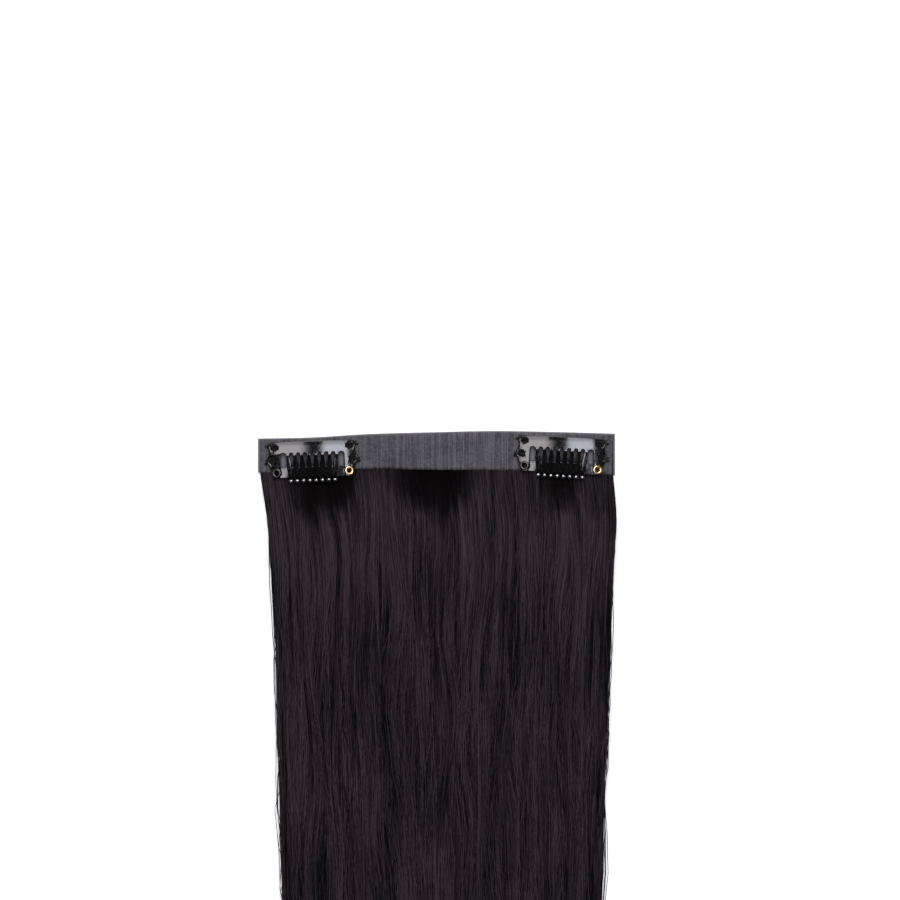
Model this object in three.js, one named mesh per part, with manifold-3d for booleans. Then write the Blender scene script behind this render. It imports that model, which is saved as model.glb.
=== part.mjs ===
// Clip-in hair extension, lying flat with its clips up.
// Millimetres. X runs along the band, the hair falls towards -Y, and +Z points up out of the clips.
// The origin is the middle of the band's flat underside.

import * as THREE from 'three';
import { mergeVertices } from 'three/addons/utils/BufferGeometryUtils.js';
import Module from 'manifold-3d';

const wasm = await Module();
wasm.setup();

// Band: a folded strip of film with a pocket that is open towards the hair.
const BAND_WIDTH = 107.1;
const BAND_HEIGHT = 11.4;
const FILM = 0.5;
const SEAM = 1.0;                // sealed film past the roots, at the fold and at both ends
const ROOT_SHEET = 0.6;          // thickness of the pressed roots in the pocket
const ROOT_CLEARANCE = 0.1;      // between the roots and the film round them

// Hair: a row of locks, side by side, fused for most of their length.
const HAIR_LENGTH = 406;         // 16 inches, from the band's edge to the longest tip
const HAIR_THICKNESS = 5.0;      // height of a lock's crest where it lies
const LOCK_WIDTH = 7.0;          // at the root
const LOCK_GAP = 1.1;            // how far two locks have parted where their ends begin
const TIP_THICKNESS = 0.5;
const EMERGE = 2.0;              // the hair leaves the band flat for this far
const RISE = 6.0;                // and then rises to its full thickness over this far
const LANDING = 7.0;             // its underside comes down to the surface over this far

// Snap clips: a bowed plate with a comb, and a bar under it, of painted sheet steel.
const SHEET = 0.4;
const FIT = 0.2;                 // clearance between two pieces of a clip
const TAB_REACH = 13.8;          // from the clip's centre to the outermost edge of a tab
const PLATE_BOW = 1.9;           // rise of the plate's middle over its outer edges
const TOP_BAR = 3.5;             // height of the plate's top bar, down to the comb's slots
const SEWING_HOLE = 2.0;         // diameter
const TOP_HOLE = { across: 11.45, down: 1.7 };
const MIDDLE_HOLE = { across: 12.2, down: 5.6 };
const MIDDLE_LOBE = TAB_REACH - MIDDLE_HOLE.across;
const EYELET = { across: 10.8, down: 9.3 };
const EYELET_LOBE = 1.7;
const EYELET_BORE = 1.3;         // diameter, like the three below
const EYELET_SHANK = 1.6;
const EYELET_FLANGE = 2.8;
const EYELET_LIP = 2.3;
const FLANGE_HEIGHT = 0.4;
const LIP_HEIGHT = 0.2;
const TAB_INNER = 9.6;           // from the clip's centre to a tab's inner edge
const TOOTH_COUNT = 8;
const TOOTH_PITCH = 2.1;
const TOOTH_WIDTH = 1.1;
const ROOT_STUB = 1.6;           // how far a tooth's root shows in the plate, in slot widths
const TOOTH_TAPER = 0.82;        // share of its width that a tooth keeps at its tip
const TOOTH_GATHER = 0.9;        // share of the pitch that is left at the tips
const TOOTH_THICKNESS = 0.55;
const TOOTH_FALL = 0.5;          // how far a ball tip lies below the stretch over the bar
const BALL = 1.4;                // diameter of a ball tip
const BALL_DOWN = 11.8;          // from the plate's top edge to the balls' centres
const BAR_HEIGHT = 3.3;
const BAR_BOW = 0.4;
const BAR_LIFT = 0.5;            // of the bar's ends over the film, room for the eyelets' lips

// How much the locks differ from one another, as shares.
const WIDTH_SPREAD = 0.28;
const SIZE_SPREAD = 0.1;
const END_SPREAD = 0.07;         // of the hair's length, between the longest tips and the shortest
const PARTING_SPREAD = 1.2;      // rows of points, between the first locks to part and the last
const VALLEY = 0.68;             // height of a valley between two fused locks
const FREE_SIDE = 0.5;           // height of a free lock's side

// Numbers of facets.
const EDGE_STEPS = 24;
const ARC_STEPS = 14;
const ROUND_STEPS = 3;
const LATHE_SIDES = 14;
const HOLE_SIDES = 10;
const BALL_SIDES = 8;

// The band's long edges: where along the half width, and the top and bottom edge as shares of the
// band's height from its middle line. The band bows a little and widens towards its right end.
const BAND_EDGES = [
  { at: -1.0, top: 0.33, bottom: -0.57 },
  { at: -0.7, top: 0.36, bottom: -0.53 },
  { at: -0.38, top: 0.45, bottom: -0.47 },
  { at: 0.0, top: 0.5, bottom: -0.5 },
  { at: 0.33, top: 0.53, bottom: -0.5 },
  { at: 0.7, top: 0.5, bottom: -0.55 },
  { at: 1.0, top: 0.46, bottom: -0.64 },
];

// The two clips: how far the outer tab lies in from the band's end, how far the clip's top edge lies
// below the band's top edge, as shares of the clip's reach, and how many degrees the clip is turned.
const CLIPS = [
  { name: 'left_clip', side: -1, inset: 0.17, drop: 0.075, turn: 2.1, black: -1 },
  { name: 'right_clip', side: 1, inset: 0.14, drop: 0.1, turn: -3.4, black: -1 },
];

// The hair down its length: where, as a share of the length, its left and right edges as shares of
// the half width at the root, and its thickness as a share of the full thickness.
const HAIR_FORM = [
  { at: 0.0, left: -1.0, right: 1.0, thick: 1.0 },
  { at: 0.035, left: -0.965, right: 1.015, thick: 1.0 },
  { at: 0.1, left: -0.925, right: 0.995, thick: 0.96 },
  { at: 0.31, left: -0.87, right: 0.935, thick: 0.9 },
  { at: 0.6, left: -0.8, right: 0.86, thick: 0.8 },
  { at: 1.0, left: -0.68, right: 0.74, thick: 0.6 },
];

// Rows of points down the fused part of the hair, as shares of its length.
const FUSED_ROWS = [0, 0.005, 0.012, 0.02, 0.031, 0.046, 0.07, 0.11, 0.17, 0.27, 0.38, 0.5, 0.61, 0.71];

// The crest across a lock, from one side to the other: 0 is the side's height and 1 the full height.
const CREST_SHARES = [0, 0.72, 1, 0.72, 0];

// A lock's free end: where along it, and the width and height that are left, as shares.
const LOCK_END = [
  { at: 0.3, width: 0.98, height: 0.93 },
  { at: 0.58, width: 0.92, height: 0.8 },
  { at: 0.8, width: 0.76, height: 0.6 },
  { at: 0.93, width: 0.46, height: 0.38 },
];

// Dips where the hair rises late: their places as shares of the half width, how wide they are as a
// share of it, and how much longer the rise is there, as a share of the plain rise.
const MIDDLE_DIP = { at: -0.05, spread: 0.16, reach: 1.3 };
const CLIP_DIP = { inward: 0.07, spread: 0.24, reach: 1.5 };

// A tooth's path from its root to its ball: where along it, how far it has come down onto the bar, how
// much of its fall past the bar is done, and how far its thickness has gone from the sheet's to its own.
const TOOTH_PATH = [
  { at: 0.0, press: 0.0, fall: 0.0, thick: 0.0 },
  { at: 0.1, press: 0.02, fall: 0.0, thick: 0.2 },
  { at: 0.35, press: 0.45, fall: 0.0, thick: 1.0 },
  { at: 0.6, press: 0.75, fall: 0.0, thick: 1.0 },
  { at: 0.87, press: 1.0, fall: 0.0, thick: 1.0 },
  { at: 0.95, press: 1.0, fall: 0.4, thick: 1.0 },
  { at: 1.0, press: 1.0, fall: 1.0, thick: 1.0 },
];

// The round lobes of a tab, from the top edge down: the hole that each one surrounds, its radius,
// and the angles in degrees from which to which it shows.
const TAB_LOBES = [
  { centre: TOP_HOLE, radius: TOP_HOLE.down, from: 90, to: -35 },
  { centre: MIDDLE_HOLE, radius: MIDDLE_LOBE, from: 50, to: -45 },
  { centre: EYELET, radius: EYELET_LOBE, from: 15, to: -125 },
];

// Sizes that follow from the ones above.
const POCKET = ROOT_SHEET + 2 * ROOT_CLEARANCE;
const BAND_THICKNESS = 2 * FILM + POCKET;
const ROOT_HALF_WIDTH = BAND_WIDTH / 2 - SEAM - ROOT_CLEARANCE;
const ROOT_FLOOR = FILM + ROOT_CLEARANCE;
const ROOT_TOP = ROOT_FLOOR + ROOT_SHEET;
const LOCK_COUNT = Math.round(2 * ROOT_HALF_WIDTH / LOCK_WIDTH);
const BAR_REACH = EYELET.across + BAR_HEIGHT / 2;
const SLOT_WIDTH = TOOTH_PITCH - TOOTH_WIDTH;
const END_TOOTH_EDGE = (TOOTH_COUNT - 1) / 2 * TOOTH_PITCH + TOOTH_WIDTH / 2;
const PLATE_LIFT = BAR_LIFT + SHEET + FIT - riseOfArc(TAB_REACH, PLATE_BOW, BAR_REACH);

/** Height over its ends, at a distance from the middle, of an arc with this half chord and bow. */
function riseOfArc(reach, bow, across) {
  const radius = (reach * reach + bow * bow) / (2 * bow);
  return Math.sqrt(radius * radius - across * across) - (radius - bow);
}

/** Smooth step from 0 to 1. */
function ease(share) {
  return THREE.MathUtils.smoothstep(share, 0, 1);
}

/** A fixed irregularity between -1 and 1 for the lock of this number, of one kind or another. */
function variation(number, kind) {
  return Math.sin(number * 2.399 + kind * 1.7);
}

/** One column of a table at any place, on a smooth curve through its rows. */
function readTable(table, column, place) {
  const last = table.length - 1;
  let next = 1;
  while (next < last && table[next].at < place) {
    next += 1;
  }
  const [low, high] = [table[next - 1], table[next]];
  const before = table[Math.max(next - 2, 0)];
  const after = table[Math.min(next + 1, last)];
  const span = high.at - low.at;
  const t = THREE.MathUtils.clamp((place - low.at) / span, 0, 1);
  const lowSlope = (high[column] - before[column]) / (high.at - before.at) * span;
  const highSlope = (after[column] - low[column]) / (after.at - low.at) * span;
  const [t2, t3] = [t * t, t * t * t];
  return low[column] * (2 * t3 - 3 * t2 + 1) + lowSlope * (t3 - 2 * t2 + t)
    + high[column] * (3 * t2 - 2 * t3) + highSlope * (t3 - t2);
}

/** The y of the band's top or bottom edge at x. */
function bandEdge(column, x) {
  return BAND_HEIGHT * readTable(BAND_EDGES, column, x / (BAND_WIDTH / 2));
}

/** Turns a closed three.js geometry into a solid that can be joined and cut. */
function solidOf(geometry) {
  const bare = geometry.clone();
  bare.deleteAttribute('normal');
  bare.deleteAttribute('uv');
  const merged = mergeVertices(bare, 1e-5);
  const vertProperties = Float32Array.from(merged.attributes.position.array);
  const triVerts = Uint32Array.from(merged.index.array);
  return new wasm.Manifold(new wasm.Mesh({ numProp: 3, vertProperties, triVerts }));
}

/** Turns a solid back into a three.js geometry. */
function geometryOf(solid) {
  const mesh = solid.getMesh();
  const geometry = new THREE.BufferGeometry();
  geometry.setAttribute('position', new THREE.BufferAttribute(mesh.vertProperties, 3));
  geometry.setIndex(new THREE.BufferAttribute(mesh.triVerts, 1));
  geometry.computeVertexNormals();
  return geometry;
}

/** A prism of a flat outline between two heights. */
function prism(shape, low, high, curveSegments = ROUND_STEPS) {
  const settings = { depth: high - low, bevelEnabled: false, curveSegments };
  const geometry = new THREE.ExtrudeGeometry(shape, settings);
  geometry.translate(0, 0, low);
  return geometry;
}

/** A closed body through rings of points, each ring with the same number of points. */
function loft(rings) {
  const count = rings[0].length;
  const index = [];
  for (let row = 0; row < rings.length - 1; row += 1) {
    for (let i = 0; i < count; i += 1) {
      const [a, b] = [row * count + i, row * count + (i + 1) % count];
      index.push(a, b, b + count, a, b + count, a + count);
    }
  }
  const end = (rings.length - 1) * count;
  for (let i = 1; i < count - 1; i += 1) {
    index.push(0, i + 1, i, end, end + i, end + i + 1);
  }
  const geometry = new THREE.BufferGeometry().setFromPoints(rings.flat());
  geometry.setIndex(index);
  return geometry;
}

/** The band's outline, drawn in by a margin at the top and the ends and run out at the bottom. */
function bandOutline(margin, overrun) {
  const reach = BAND_WIDTH / 2 - margin;
  const top = [];
  const bottom = [];
  for (let i = 0; i <= EDGE_STEPS; i += 1) {
    const x = THREE.MathUtils.lerp(-reach, reach, i / EDGE_STEPS);
    top.push(new THREE.Vector2(x, bandEdge('top', x) - margin));
    bottom.push(new THREE.Vector2(x, bandEdge('bottom', x) - overrun));
  }
  return new THREE.Shape([...bottom, ...top.reverse()]);
}

/** The folded film: a slab with a pocket for the roots that opens along its bottom edge. */
function bandGeometry() {
  const slab = solidOf(prism(bandOutline(0, 0), 0, BAND_THICKNESS));
  const pocket = solidOf(prism(bandOutline(SEAM, SEAM), FILM, FILM + POCKET));
  return geometryOf(slab.subtract(pocket));
}

/** How far the hair needs to rise to its full thickness at x: longer in the dips. */
function riseLength(x) {
  const share = x / ROOT_HALF_WIDTH;
  const bell = (at, dip) => dip.reach * Math.exp(-(((share - at) / dip.spread) ** 2));
  let extra = bell(MIDDLE_DIP.at, MIDDLE_DIP);
  for (const clip of CLIPS) {
    extra += bell(clipX(clip) / ROOT_HALF_WIDTH - clip.side * CLIP_DIP.inward, CLIP_DIP);
  }
  return RISE * (1 + extra);
}

/** The x of a place across the hair (0 left to 1 right) at a distance down from the band's edge. */
function hairX(across, down) {
  const left = readTable(HAIR_FORM, 'left', down / HAIR_LENGTH);
  const right = readTable(HAIR_FORM, 'right', down / HAIR_LENGTH);
  return ROOT_HALF_WIDTH * THREE.MathUtils.lerp(left, right, across);
}

/** The y at a distance down from the band's edge; the edge's own curve fades out down the hair. */
function hairY(x, down) {
  return bandEdge('bottom', x) * (1 - ease(down / HAIR_LENGTH)) - down;
}

/** The height of the hair's top at x, where it has this share of its full thickness. */
function hairTop(x, down, share) {
  const full = HAIR_THICKNESS * readTable(HAIR_FORM, 'thick', down / HAIR_LENGTH);
  return THREE.MathUtils.lerp(ROOT_TOP, full * share, ease((down - EMERGE) / riseLength(x)));
}

/** The height of the hair's underside at a distance down. */
function hairFloor(down) {
  return ROOT_FLOOR * (1 - ease(down / LANDING));
}

/** The places across the hair where one lock ends and the next begins, 0 left to 1 right. */
function lockEdges() {
  const widths = Array.from({ length: LOCK_COUNT }, (_, lock) => 1 + WIDTH_SPREAD * variation(lock, 0));
  const total = widths.reduce((sum, width) => sum + width, 0);
  const edges = [0];
  for (const width of widths) {
    edges.push(edges[edges.length - 1] + width / total);
  }
  return edges;
}

/** The number of the last row in which two neighbours are still fused; outside there is none. */
function partingRow(lock) {
  if (lock < 0 || lock === LOCK_COUNT - 1) {
    return -1;
  }
  return FUSED_ROWS.length - Math.round(PARTING_SPREAD * (1 + variation(lock, 1)));
}

/** The rows of one lock: in the pocket, down its fused part, and down its free end. */
function lockRows(length) {
  const pocket = { inPocket: true, down: 0, width: 1, height: 1 };
  const fused = FUSED_ROWS.map((share) => ({ down: share * HAIR_LENGTH, width: 1, height: 1 }));
  const start = fused[fused.length - 1].down;
  const free = LOCK_END.map((end) => (
    { down: THREE.MathUtils.lerp(start, length, end.at), width: end.width, height: end.height }));
  return [pocket, ...fused, ...free];
}

/** A skin of numbered points and faces that grows piece by piece. */
class Skin {
  constructor() {
    this.points = [];
    this.index = [];
  }

  point(x, y, z) {
    this.points.push(new THREE.Vector3(x, y, z));
    return this.points.length - 1;
  }

  triangle(a, b, c) {
    this.index.push(a, b, c);
  }

  quad(a, b, c, d) {
    this.triangle(a, b, c);
    this.triangle(a, c, d);
  }

  geometry() {
    const geometry = new THREE.BufferGeometry().setFromPoints(this.points);
    geometry.setIndex(this.index);
    geometry.computeVertexNormals();
    return geometry;
  }
}

/** How far a lock's side has drawn in, in a row past the one where it parts from its neighbour. */
function partingGap(number, parting) {
  if (parting < 0) {
    return 0;
  }
  return LOCK_GAP / 2 * ease((number - parting) / (FUSED_ROWS.length + 1 - parting));
}

/** The points of one row of a lock; a side that is still fused is its left neighbour's right side. */
function lockSection(skin, lock, row, number, neighbour) {
  const [leftParting, rightParting] = [partingRow(lock - 1), partingRow(lock)];
  const edges = lockEdges();
  const outerLeft = hairX(edges[lock], row.down) + partingGap(number, leftParting);
  const outerRight = hairX(edges[lock + 1], row.down) - partingGap(number, rightParting);
  const middle = (outerLeft + outerRight) / 2;
  const half = (outerRight - outerLeft) / 2 * row.width;
  const crest = 1 - SIZE_SPREAD / 2 * (1 - variation(lock, 2));
  const sideShare = (parting) => (parting >= 0 && number > parting ? FREE_SIDE : VALLEY);
  const yAt = (x) => (row.inPocket ? bandEdge('top', x) - SEAM - ROOT_CLEARANCE : hairY(x, row.down));
  const top = (x, share) => skin.point(x, yAt(x), hairTop(x, row.down, share * row.height));
  const side = (x, parting) => (
    { top: top(x, sideShare(parting)), floor: skin.point(x, yAt(x), hairFloor(row.down)) });

  const left = neighbour && number <= leftParting ? neighbour.right : side(middle - half, leftParting);
  const right = side(middle + half, rightParting);
  const crown = CREST_SHARES.slice(1, -1).map((share, i) => {
    const across = (i + 1) / (CREST_SHARES.length - 1);
    const base = sideShare(across < 0.5 ? leftParting : rightParting);
    return top(middle + half * (2 * across - 1), THREE.MathUtils.lerp(base, crest, share));
  });
  return { left, right, tops: [left.top, ...crown, right.top] };
}

/** Covers one lock: its top, its underside, its end, and a wall wherever no neighbour is fused on. */
function coverLock(skin, lock, sections, tip) {
  const last = sections.length - 1;
  for (let number = 0; number < last; number += 1) {
    const [here, next] = [sections[number], sections[number + 1]];
    for (let i = 0; i < CREST_SHARES.length - 1; i += 1) {
      skin.quad(here.tops[i], next.tops[i], next.tops[i + 1], here.tops[i + 1]);
    }
    skin.quad(here.right.floor, next.right.floor, next.left.floor, here.left.floor);
    if (number >= partingRow(lock - 1)) {
      skin.quad(here.left.top, here.left.floor, next.left.floor, next.left.top);
    }
    if (number >= partingRow(lock)) {
      skin.quad(next.right.top, next.right.floor, here.right.floor, here.right.top);
    }
  }
  const [first, end] = [sections[0], sections[last]];
  for (let i = 0; i < CREST_SHARES.length - 1; i += 1) {
    skin.triangle(end.tops[i], tip, end.tops[i + 1]);
    skin.triangle(first.left.floor, first.tops[i], first.tops[i + 1]);
  }
  skin.triangle(end.right.floor, tip, end.left.floor);
  skin.triangle(end.left.top, end.left.floor, tip);
  skin.triangle(tip, end.right.floor, end.right.top);
  skin.triangle(first.left.floor, first.right.top, first.right.floor);
}

/** The hair: a pressed sheet of roots that fans out into locks with free, pointed ends. */
function hairGeometry() {
  const skin = new Skin();
  const edges = lockEdges();
  let neighbours = [];
  for (let lock = 0; lock < LOCK_COUNT; lock += 1) {
    const length = HAIR_LENGTH * (1 - END_SPREAD * (1 - variation(lock, 3)));
    const sections = lockRows(length).map((row, number) => (
      lockSection(skin, lock, row, number, neighbours[number])));
    const tipX = (hairX(edges[lock], length) + hairX(edges[lock + 1], length)) / 2;
    const tip = skin.point(tipX, hairY(tipX, length), TIP_THICKNESS / 2);
    coverLock(skin, lock, sections, tip);
    neighbours = sections;
  }
  return skin.geometry();
}

/** The x of a clip's centre on the band. */
function clipX(clip) {
  return clip.side * (BAND_WIDTH / 2 - TAB_REACH * (1 + clip.inset));
}

/** A round hole as a path, for cutting through an outline. */
function roundHole(x, y, diameter) {
  const hole = new THREE.Path();
  const points = Array.from({ length: HOLE_SIDES }, (_, i) => {
    const angle = 2 * Math.PI * i / HOLE_SIDES;
    return new THREE.Vector2(x + diameter / 2 * Math.cos(angle), y + diameter / 2 * Math.sin(angle));
  });
  hole.setFromPoints(points);
  return hole;
}

/** A bowed sheet of steel, wide and deep enough for any outline of a clip, rising over its ends. */
function bowedSheet(reach, bow, lift) {
  const radius = (reach * reach + bow * bow) / (2 * bow);
  const centre = lift + bow - radius;
  const half = Math.asin((reach + 1) / radius);
  const [from, to] = [Math.PI / 2 + half, Math.PI / 2 - half];
  const profile = new THREE.Shape();
  profile.absarc(0, centre, radius + SHEET, from, to, true);
  profile.absarc(0, centre, radius, to, from, false);
  const depth = 2 * BALL_DOWN;
  const geometry = prism(profile, -depth / 4, 3 * depth / 4, ARC_STEPS);
  geometry.rotateX(Math.PI / 2);
  return solidOf(geometry);
}

/** The plate's outline seen from above: top bar, scalloped tabs, and the roots of the teeth. */
function plateOutline() {
  const outline = new THREE.Shape();
  const radians = THREE.MathUtils.degToRad;
  for (const lobe of TAB_LOBES) {
    outline.absarc(lobe.centre.across, -lobe.centre.down, lobe.radius, radians(lobe.from),
      radians(lobe.to), true);
  }
  outline.lineTo(TAB_INNER, -EYELET.down);
  const slotTop = (x, width) => {
    outline.absarc(x, -TOP_BAR - width / 2, width / 2, 0, Math.PI, false);
  };
  const rootEnd = TOP_BAR + SLOT_WIDTH * ROOT_STUB;
  const endSlot = (TAB_INNER + END_TOOTH_EDGE) / 2;
  const endSlotWidth = TAB_INNER - END_TOOTH_EDGE;
  slotTop(endSlot, endSlotWidth);
  for (let number = TOOTH_COUNT - 1; number >= 0; number -= 1) {
    const x = toothRoot(number);
    outline.lineTo(x + TOOTH_WIDTH / 2, -rootEnd);
    outline.lineTo(x - TOOTH_WIDTH / 2, -rootEnd);
    if (number > 0) {
      slotTop(x - TOOTH_PITCH / 2, SLOT_WIDTH);
    }
  }
  slotTop(-endSlot, endSlotWidth);
  outline.lineTo(-TAB_INNER, -EYELET.down);
  for (const lobe of [...TAB_LOBES].reverse()) {
    outline.absarc(-lobe.centre.across, -lobe.centre.down, lobe.radius, radians(180 - lobe.to),
      radians(180 - lobe.from), true);
  }
  for (const side of [-1, 1]) {
    outline.holes.push(roundHole(side * TOP_HOLE.across, -TOP_HOLE.down, SEWING_HOLE));
    outline.holes.push(roundHole(side * MIDDLE_HOLE.across, -MIDDLE_HOLE.down, SEWING_HOLE));
    outline.holes.push(roundHole(side * EYELET.across, -EYELET.down, EYELET_SHANK + 2 * FIT));
  }
  return outline;
}

/** The x of a tooth's root, from the clip's centre. */
function toothRoot(number) {
  return (number - (TOOTH_COUNT - 1) / 2) * TOOTH_PITCH;
}

/** The height of the plate's underside over the film, across from the clip's centre. */
function plateHeight(across) {
  return PLATE_LIFT + riseOfArc(TAB_REACH, PLATE_BOW, across);
}

/** The height of the bar's underside over the film, across from the clip's centre. */
function barHeight(across) {
  return BAR_LIFT + riseOfArc(BAR_REACH, BAR_BOW, across);
}

/** One tooth of the comb: it comes down from the top bar onto the lower bar and ends in a ball. */
function toothSolid(number) {
  const rootX = toothRoot(number);
  const tilt = -Math.asin(rootX * 2 * PLATE_BOW / (TAB_REACH ** 2 + PLATE_BOW ** 2));
  const rootDown = TOP_BAR + SLOT_WIDTH / 2;
  const rootZ = plateHeight(rootX) + SHEET / 2;
  const overBar = barHeight(rootX) + SHEET + FIT + TOOTH_THICKNESS / 2;
  const rings = TOOTH_PATH.map((step) => {
    const x = rootX * THREE.MathUtils.lerp(1, TOOTH_GATHER, step.at);
    const y = -THREE.MathUtils.lerp(rootDown, BALL_DOWN, step.at);
    const z = THREE.MathUtils.lerp(rootZ, overBar, step.press) - TOOTH_FALL * step.fall;
    const half = TOOTH_WIDTH / 2 * THREE.MathUtils.lerp(1, TOOTH_TAPER, step.at);
    const thick = THREE.MathUtils.lerp(SHEET, TOOTH_THICKNESS, step.thick) / 2;
    const corners = [[-half, -thick], [half, -thick], [half, thick], [-half, thick]];
    return corners.map(([u, w]) => new THREE.Vector3(x + u * Math.cos(tilt) - w * Math.sin(tilt), y,
      z + u * Math.sin(tilt) + w * Math.cos(tilt)));
  });
  const ball = new THREE.SphereGeometry(BALL / 2, BALL_SIDES, BALL_SIDES - 2);
  ball.translate(rootX * TOOTH_GATHER, -BALL_DOWN, overBar - TOOTH_FALL);
  return solidOf(loft(rings)).add(solidOf(ball));
}

/** The stamped and bowed plate with its comb. */
function plateGeometry() {
  const blank = solidOf(prism(plateOutline(), 0, 2 * (PLATE_LIFT + PLATE_BOW)));
  let plate = bowedSheet(TAB_REACH, PLATE_BOW, PLATE_LIFT).intersect(blank);
  for (let number = 0; number < TOOTH_COUNT; number += 1) {
    plate = plate.add(toothSolid(number));
  }
  return geometryOf(plate);
}

/** The bowed lower bar, round at both ends, with a hole for each eyelet. */
function barGeometry() {
  const outline = new THREE.Shape();
  const quarter = Math.PI / 2;
  outline.absarc(EYELET.across, -EYELET.down, BAR_HEIGHT / 2, -quarter, quarter, false);
  outline.absarc(-EYELET.across, -EYELET.down, BAR_HEIGHT / 2, quarter, 3 * quarter, false);
  for (const side of [-1, 1]) {
    outline.holes.push(roundHole(side * EYELET.across, -EYELET.down, EYELET_SHANK + 2 * FIT));
  }
  const blank = solidOf(prism(outline, 0, 2 * (BAR_LIFT + BAR_BOW), 2 * ROUND_STEPS));
  return geometryOf(bowedSheet(BAR_REACH, BAR_BOW, BAR_LIFT).intersect(blank));
}

/** A hollow rivet along Z with a flange over the plate and a rolled lip under the bar. */
function eyeletGeometry() {
  const flangeFoot = plateHeight(EYELET.across) + SHEET + FIT;
  const lipTop = barHeight(EYELET.across) - FIT;
  const [bore, shank] = [EYELET_BORE / 2, EYELET_SHANK / 2];
  const [flange, lip] = [EYELET_FLANGE / 2, EYELET_LIP / 2];
  const wall = shank - bore;
  const profile = [
    [bore, lipTop - LIP_HEIGHT],
    [lip, lipTop - LIP_HEIGHT],
    [lip, lipTop],
    [shank, lipTop],
    [shank, flangeFoot],
    [flange, flangeFoot],
    [flange, flangeFoot + FLANGE_HEIGHT / 2],
    [flange - wall, flangeFoot + FLANGE_HEIGHT],
    [bore + wall, flangeFoot + FLANGE_HEIGHT],
    [bore, flangeFoot + FLANGE_HEIGHT / 2],
    [bore, lipTop - LIP_HEIGHT],
  ];
  const geometry = new THREE.LatheGeometry(profile.map(([r, z]) => new THREE.Vector2(r, z)), LATHE_SIDES);
  geometry.rotateX(Math.PI / 2);
  return geometry;
}

const blackPaint = { color: 0x08080a, roughness: 0.18, metalness: 0.4 };

/** A named mesh with a material of its own. */
function piece(name, geometry, finish) {
  const mesh = new THREE.Mesh(geometry, new THREE.MeshStandardMaterial(finish));
  mesh.name = name;
  return mesh;
}

/** An eyelet at one end of the bar, leaning outwards square to the bowed sheet. */
function placedEyelet(name, side, finish) {
  const eyelet = piece(name, eyeletGeometry(), finish);
  const lean = Math.asin(EYELET.across * 2 * PLATE_BOW / (TAB_REACH ** 2 + PLATE_BOW ** 2));
  const pivot = plateHeight(EYELET.across);
  eyelet.rotation.y = side * lean;
  eyelet.position.set(side * (EYELET.across - pivot * Math.sin(lean)), -EYELET.down,
    pivot * (1 - Math.cos(lean)));
  return eyelet;
}

/** A whole snap clip in its place on the band. */
function clipGroup(clip) {
  const group = new THREE.Group();
  group.add(piece(`${clip.name}_plate`, plateGeometry(), blackPaint));
  group.add(piece(`${clip.name}_bar`, barGeometry(), blackPaint));
  group.add(placedEyelet(`${clip.name}_black_eyelet`, clip.black, blackPaint));
  group.add(placedEyelet(`${clip.name}_brass_eyelet`, -clip.black,
    { color: 0xb98a4a, roughness: 0.25, metalness: 1.0 }));
  const x = clipX(clip);
  group.position.set(x, bandEdge('top', x) - TAB_REACH * clip.drop, BAND_THICKNESS);
  group.rotation.z = THREE.MathUtils.degToRad(clip.turn);
  return group;
}

const extension = new THREE.Group();
extension.add(piece('pu_band', bandGeometry(), { color: 0x47474d, roughness: 0.5, metalness: 0 }));
extension.add(piece('hair', hairGeometry(), { color: 0x1c181a, roughness: 0.45, metalness: 0 }));
for (const clip of CLIPS) {
  extension.add(clipGroup(clip));
}

export default extension;
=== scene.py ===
"""Clip-in hair extension: a folded film band, a fall of straight black hair and two snap clips.

Lengths in the classes are millimetres, and become metres when a mesh is made. X runs along the
band, the hair falls towards -Y, +Z points up out of the clips, and the origin is the middle of the
band's flat underside, as in the CAD frame.
"""

import logging
import math
from dataclasses import dataclass, field
from enum import Enum
from typing import Any, Callable, Iterable, Mapping, Sequence

import bmesh
import bpy
from mathutils import Matrix, Vector, noise


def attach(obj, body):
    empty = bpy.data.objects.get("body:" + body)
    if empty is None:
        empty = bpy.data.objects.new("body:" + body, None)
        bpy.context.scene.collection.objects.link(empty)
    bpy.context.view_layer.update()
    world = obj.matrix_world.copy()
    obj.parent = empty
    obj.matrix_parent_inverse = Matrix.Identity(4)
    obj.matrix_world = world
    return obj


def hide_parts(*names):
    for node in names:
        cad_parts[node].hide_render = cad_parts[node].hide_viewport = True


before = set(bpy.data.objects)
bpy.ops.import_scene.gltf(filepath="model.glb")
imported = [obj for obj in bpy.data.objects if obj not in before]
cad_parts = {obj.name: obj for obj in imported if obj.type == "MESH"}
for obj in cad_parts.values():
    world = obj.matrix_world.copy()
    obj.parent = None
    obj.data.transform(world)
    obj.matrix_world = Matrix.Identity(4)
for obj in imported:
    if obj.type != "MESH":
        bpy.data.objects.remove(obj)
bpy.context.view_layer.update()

LOG = logging.getLogger("hair_extension")
MM = 0.001
ROOT = "root"
Colour = tuple[float, float, float]
Table = Sequence[Mapping[str, float]]


class Slot(Enum):
    """The material slots of the record; each piece is passed one, which nothing reads."""

    FILM = "film"
    HAIR = "hair"
    BLACK_PAINT = "black_paint"
    BRASS = "brass"
    THREAD = "thread"


def lerp(low: float, high: float, share: float) -> float:
    """The value at this share of the way from low to high."""
    return low + (high - low) * share


def ease(share: float) -> float:
    """Smooth step from 0 to 1."""
    share = min(max(share, 0.0), 1.0)
    return share * share * (3 - 2 * share)


def variation(number: int, kind: int) -> float:
    """A fixed irregularity between -1 and 1 for the lock of this number, of one kind or another."""
    return math.sin(number * 2.399 + kind * 1.7)


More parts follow.
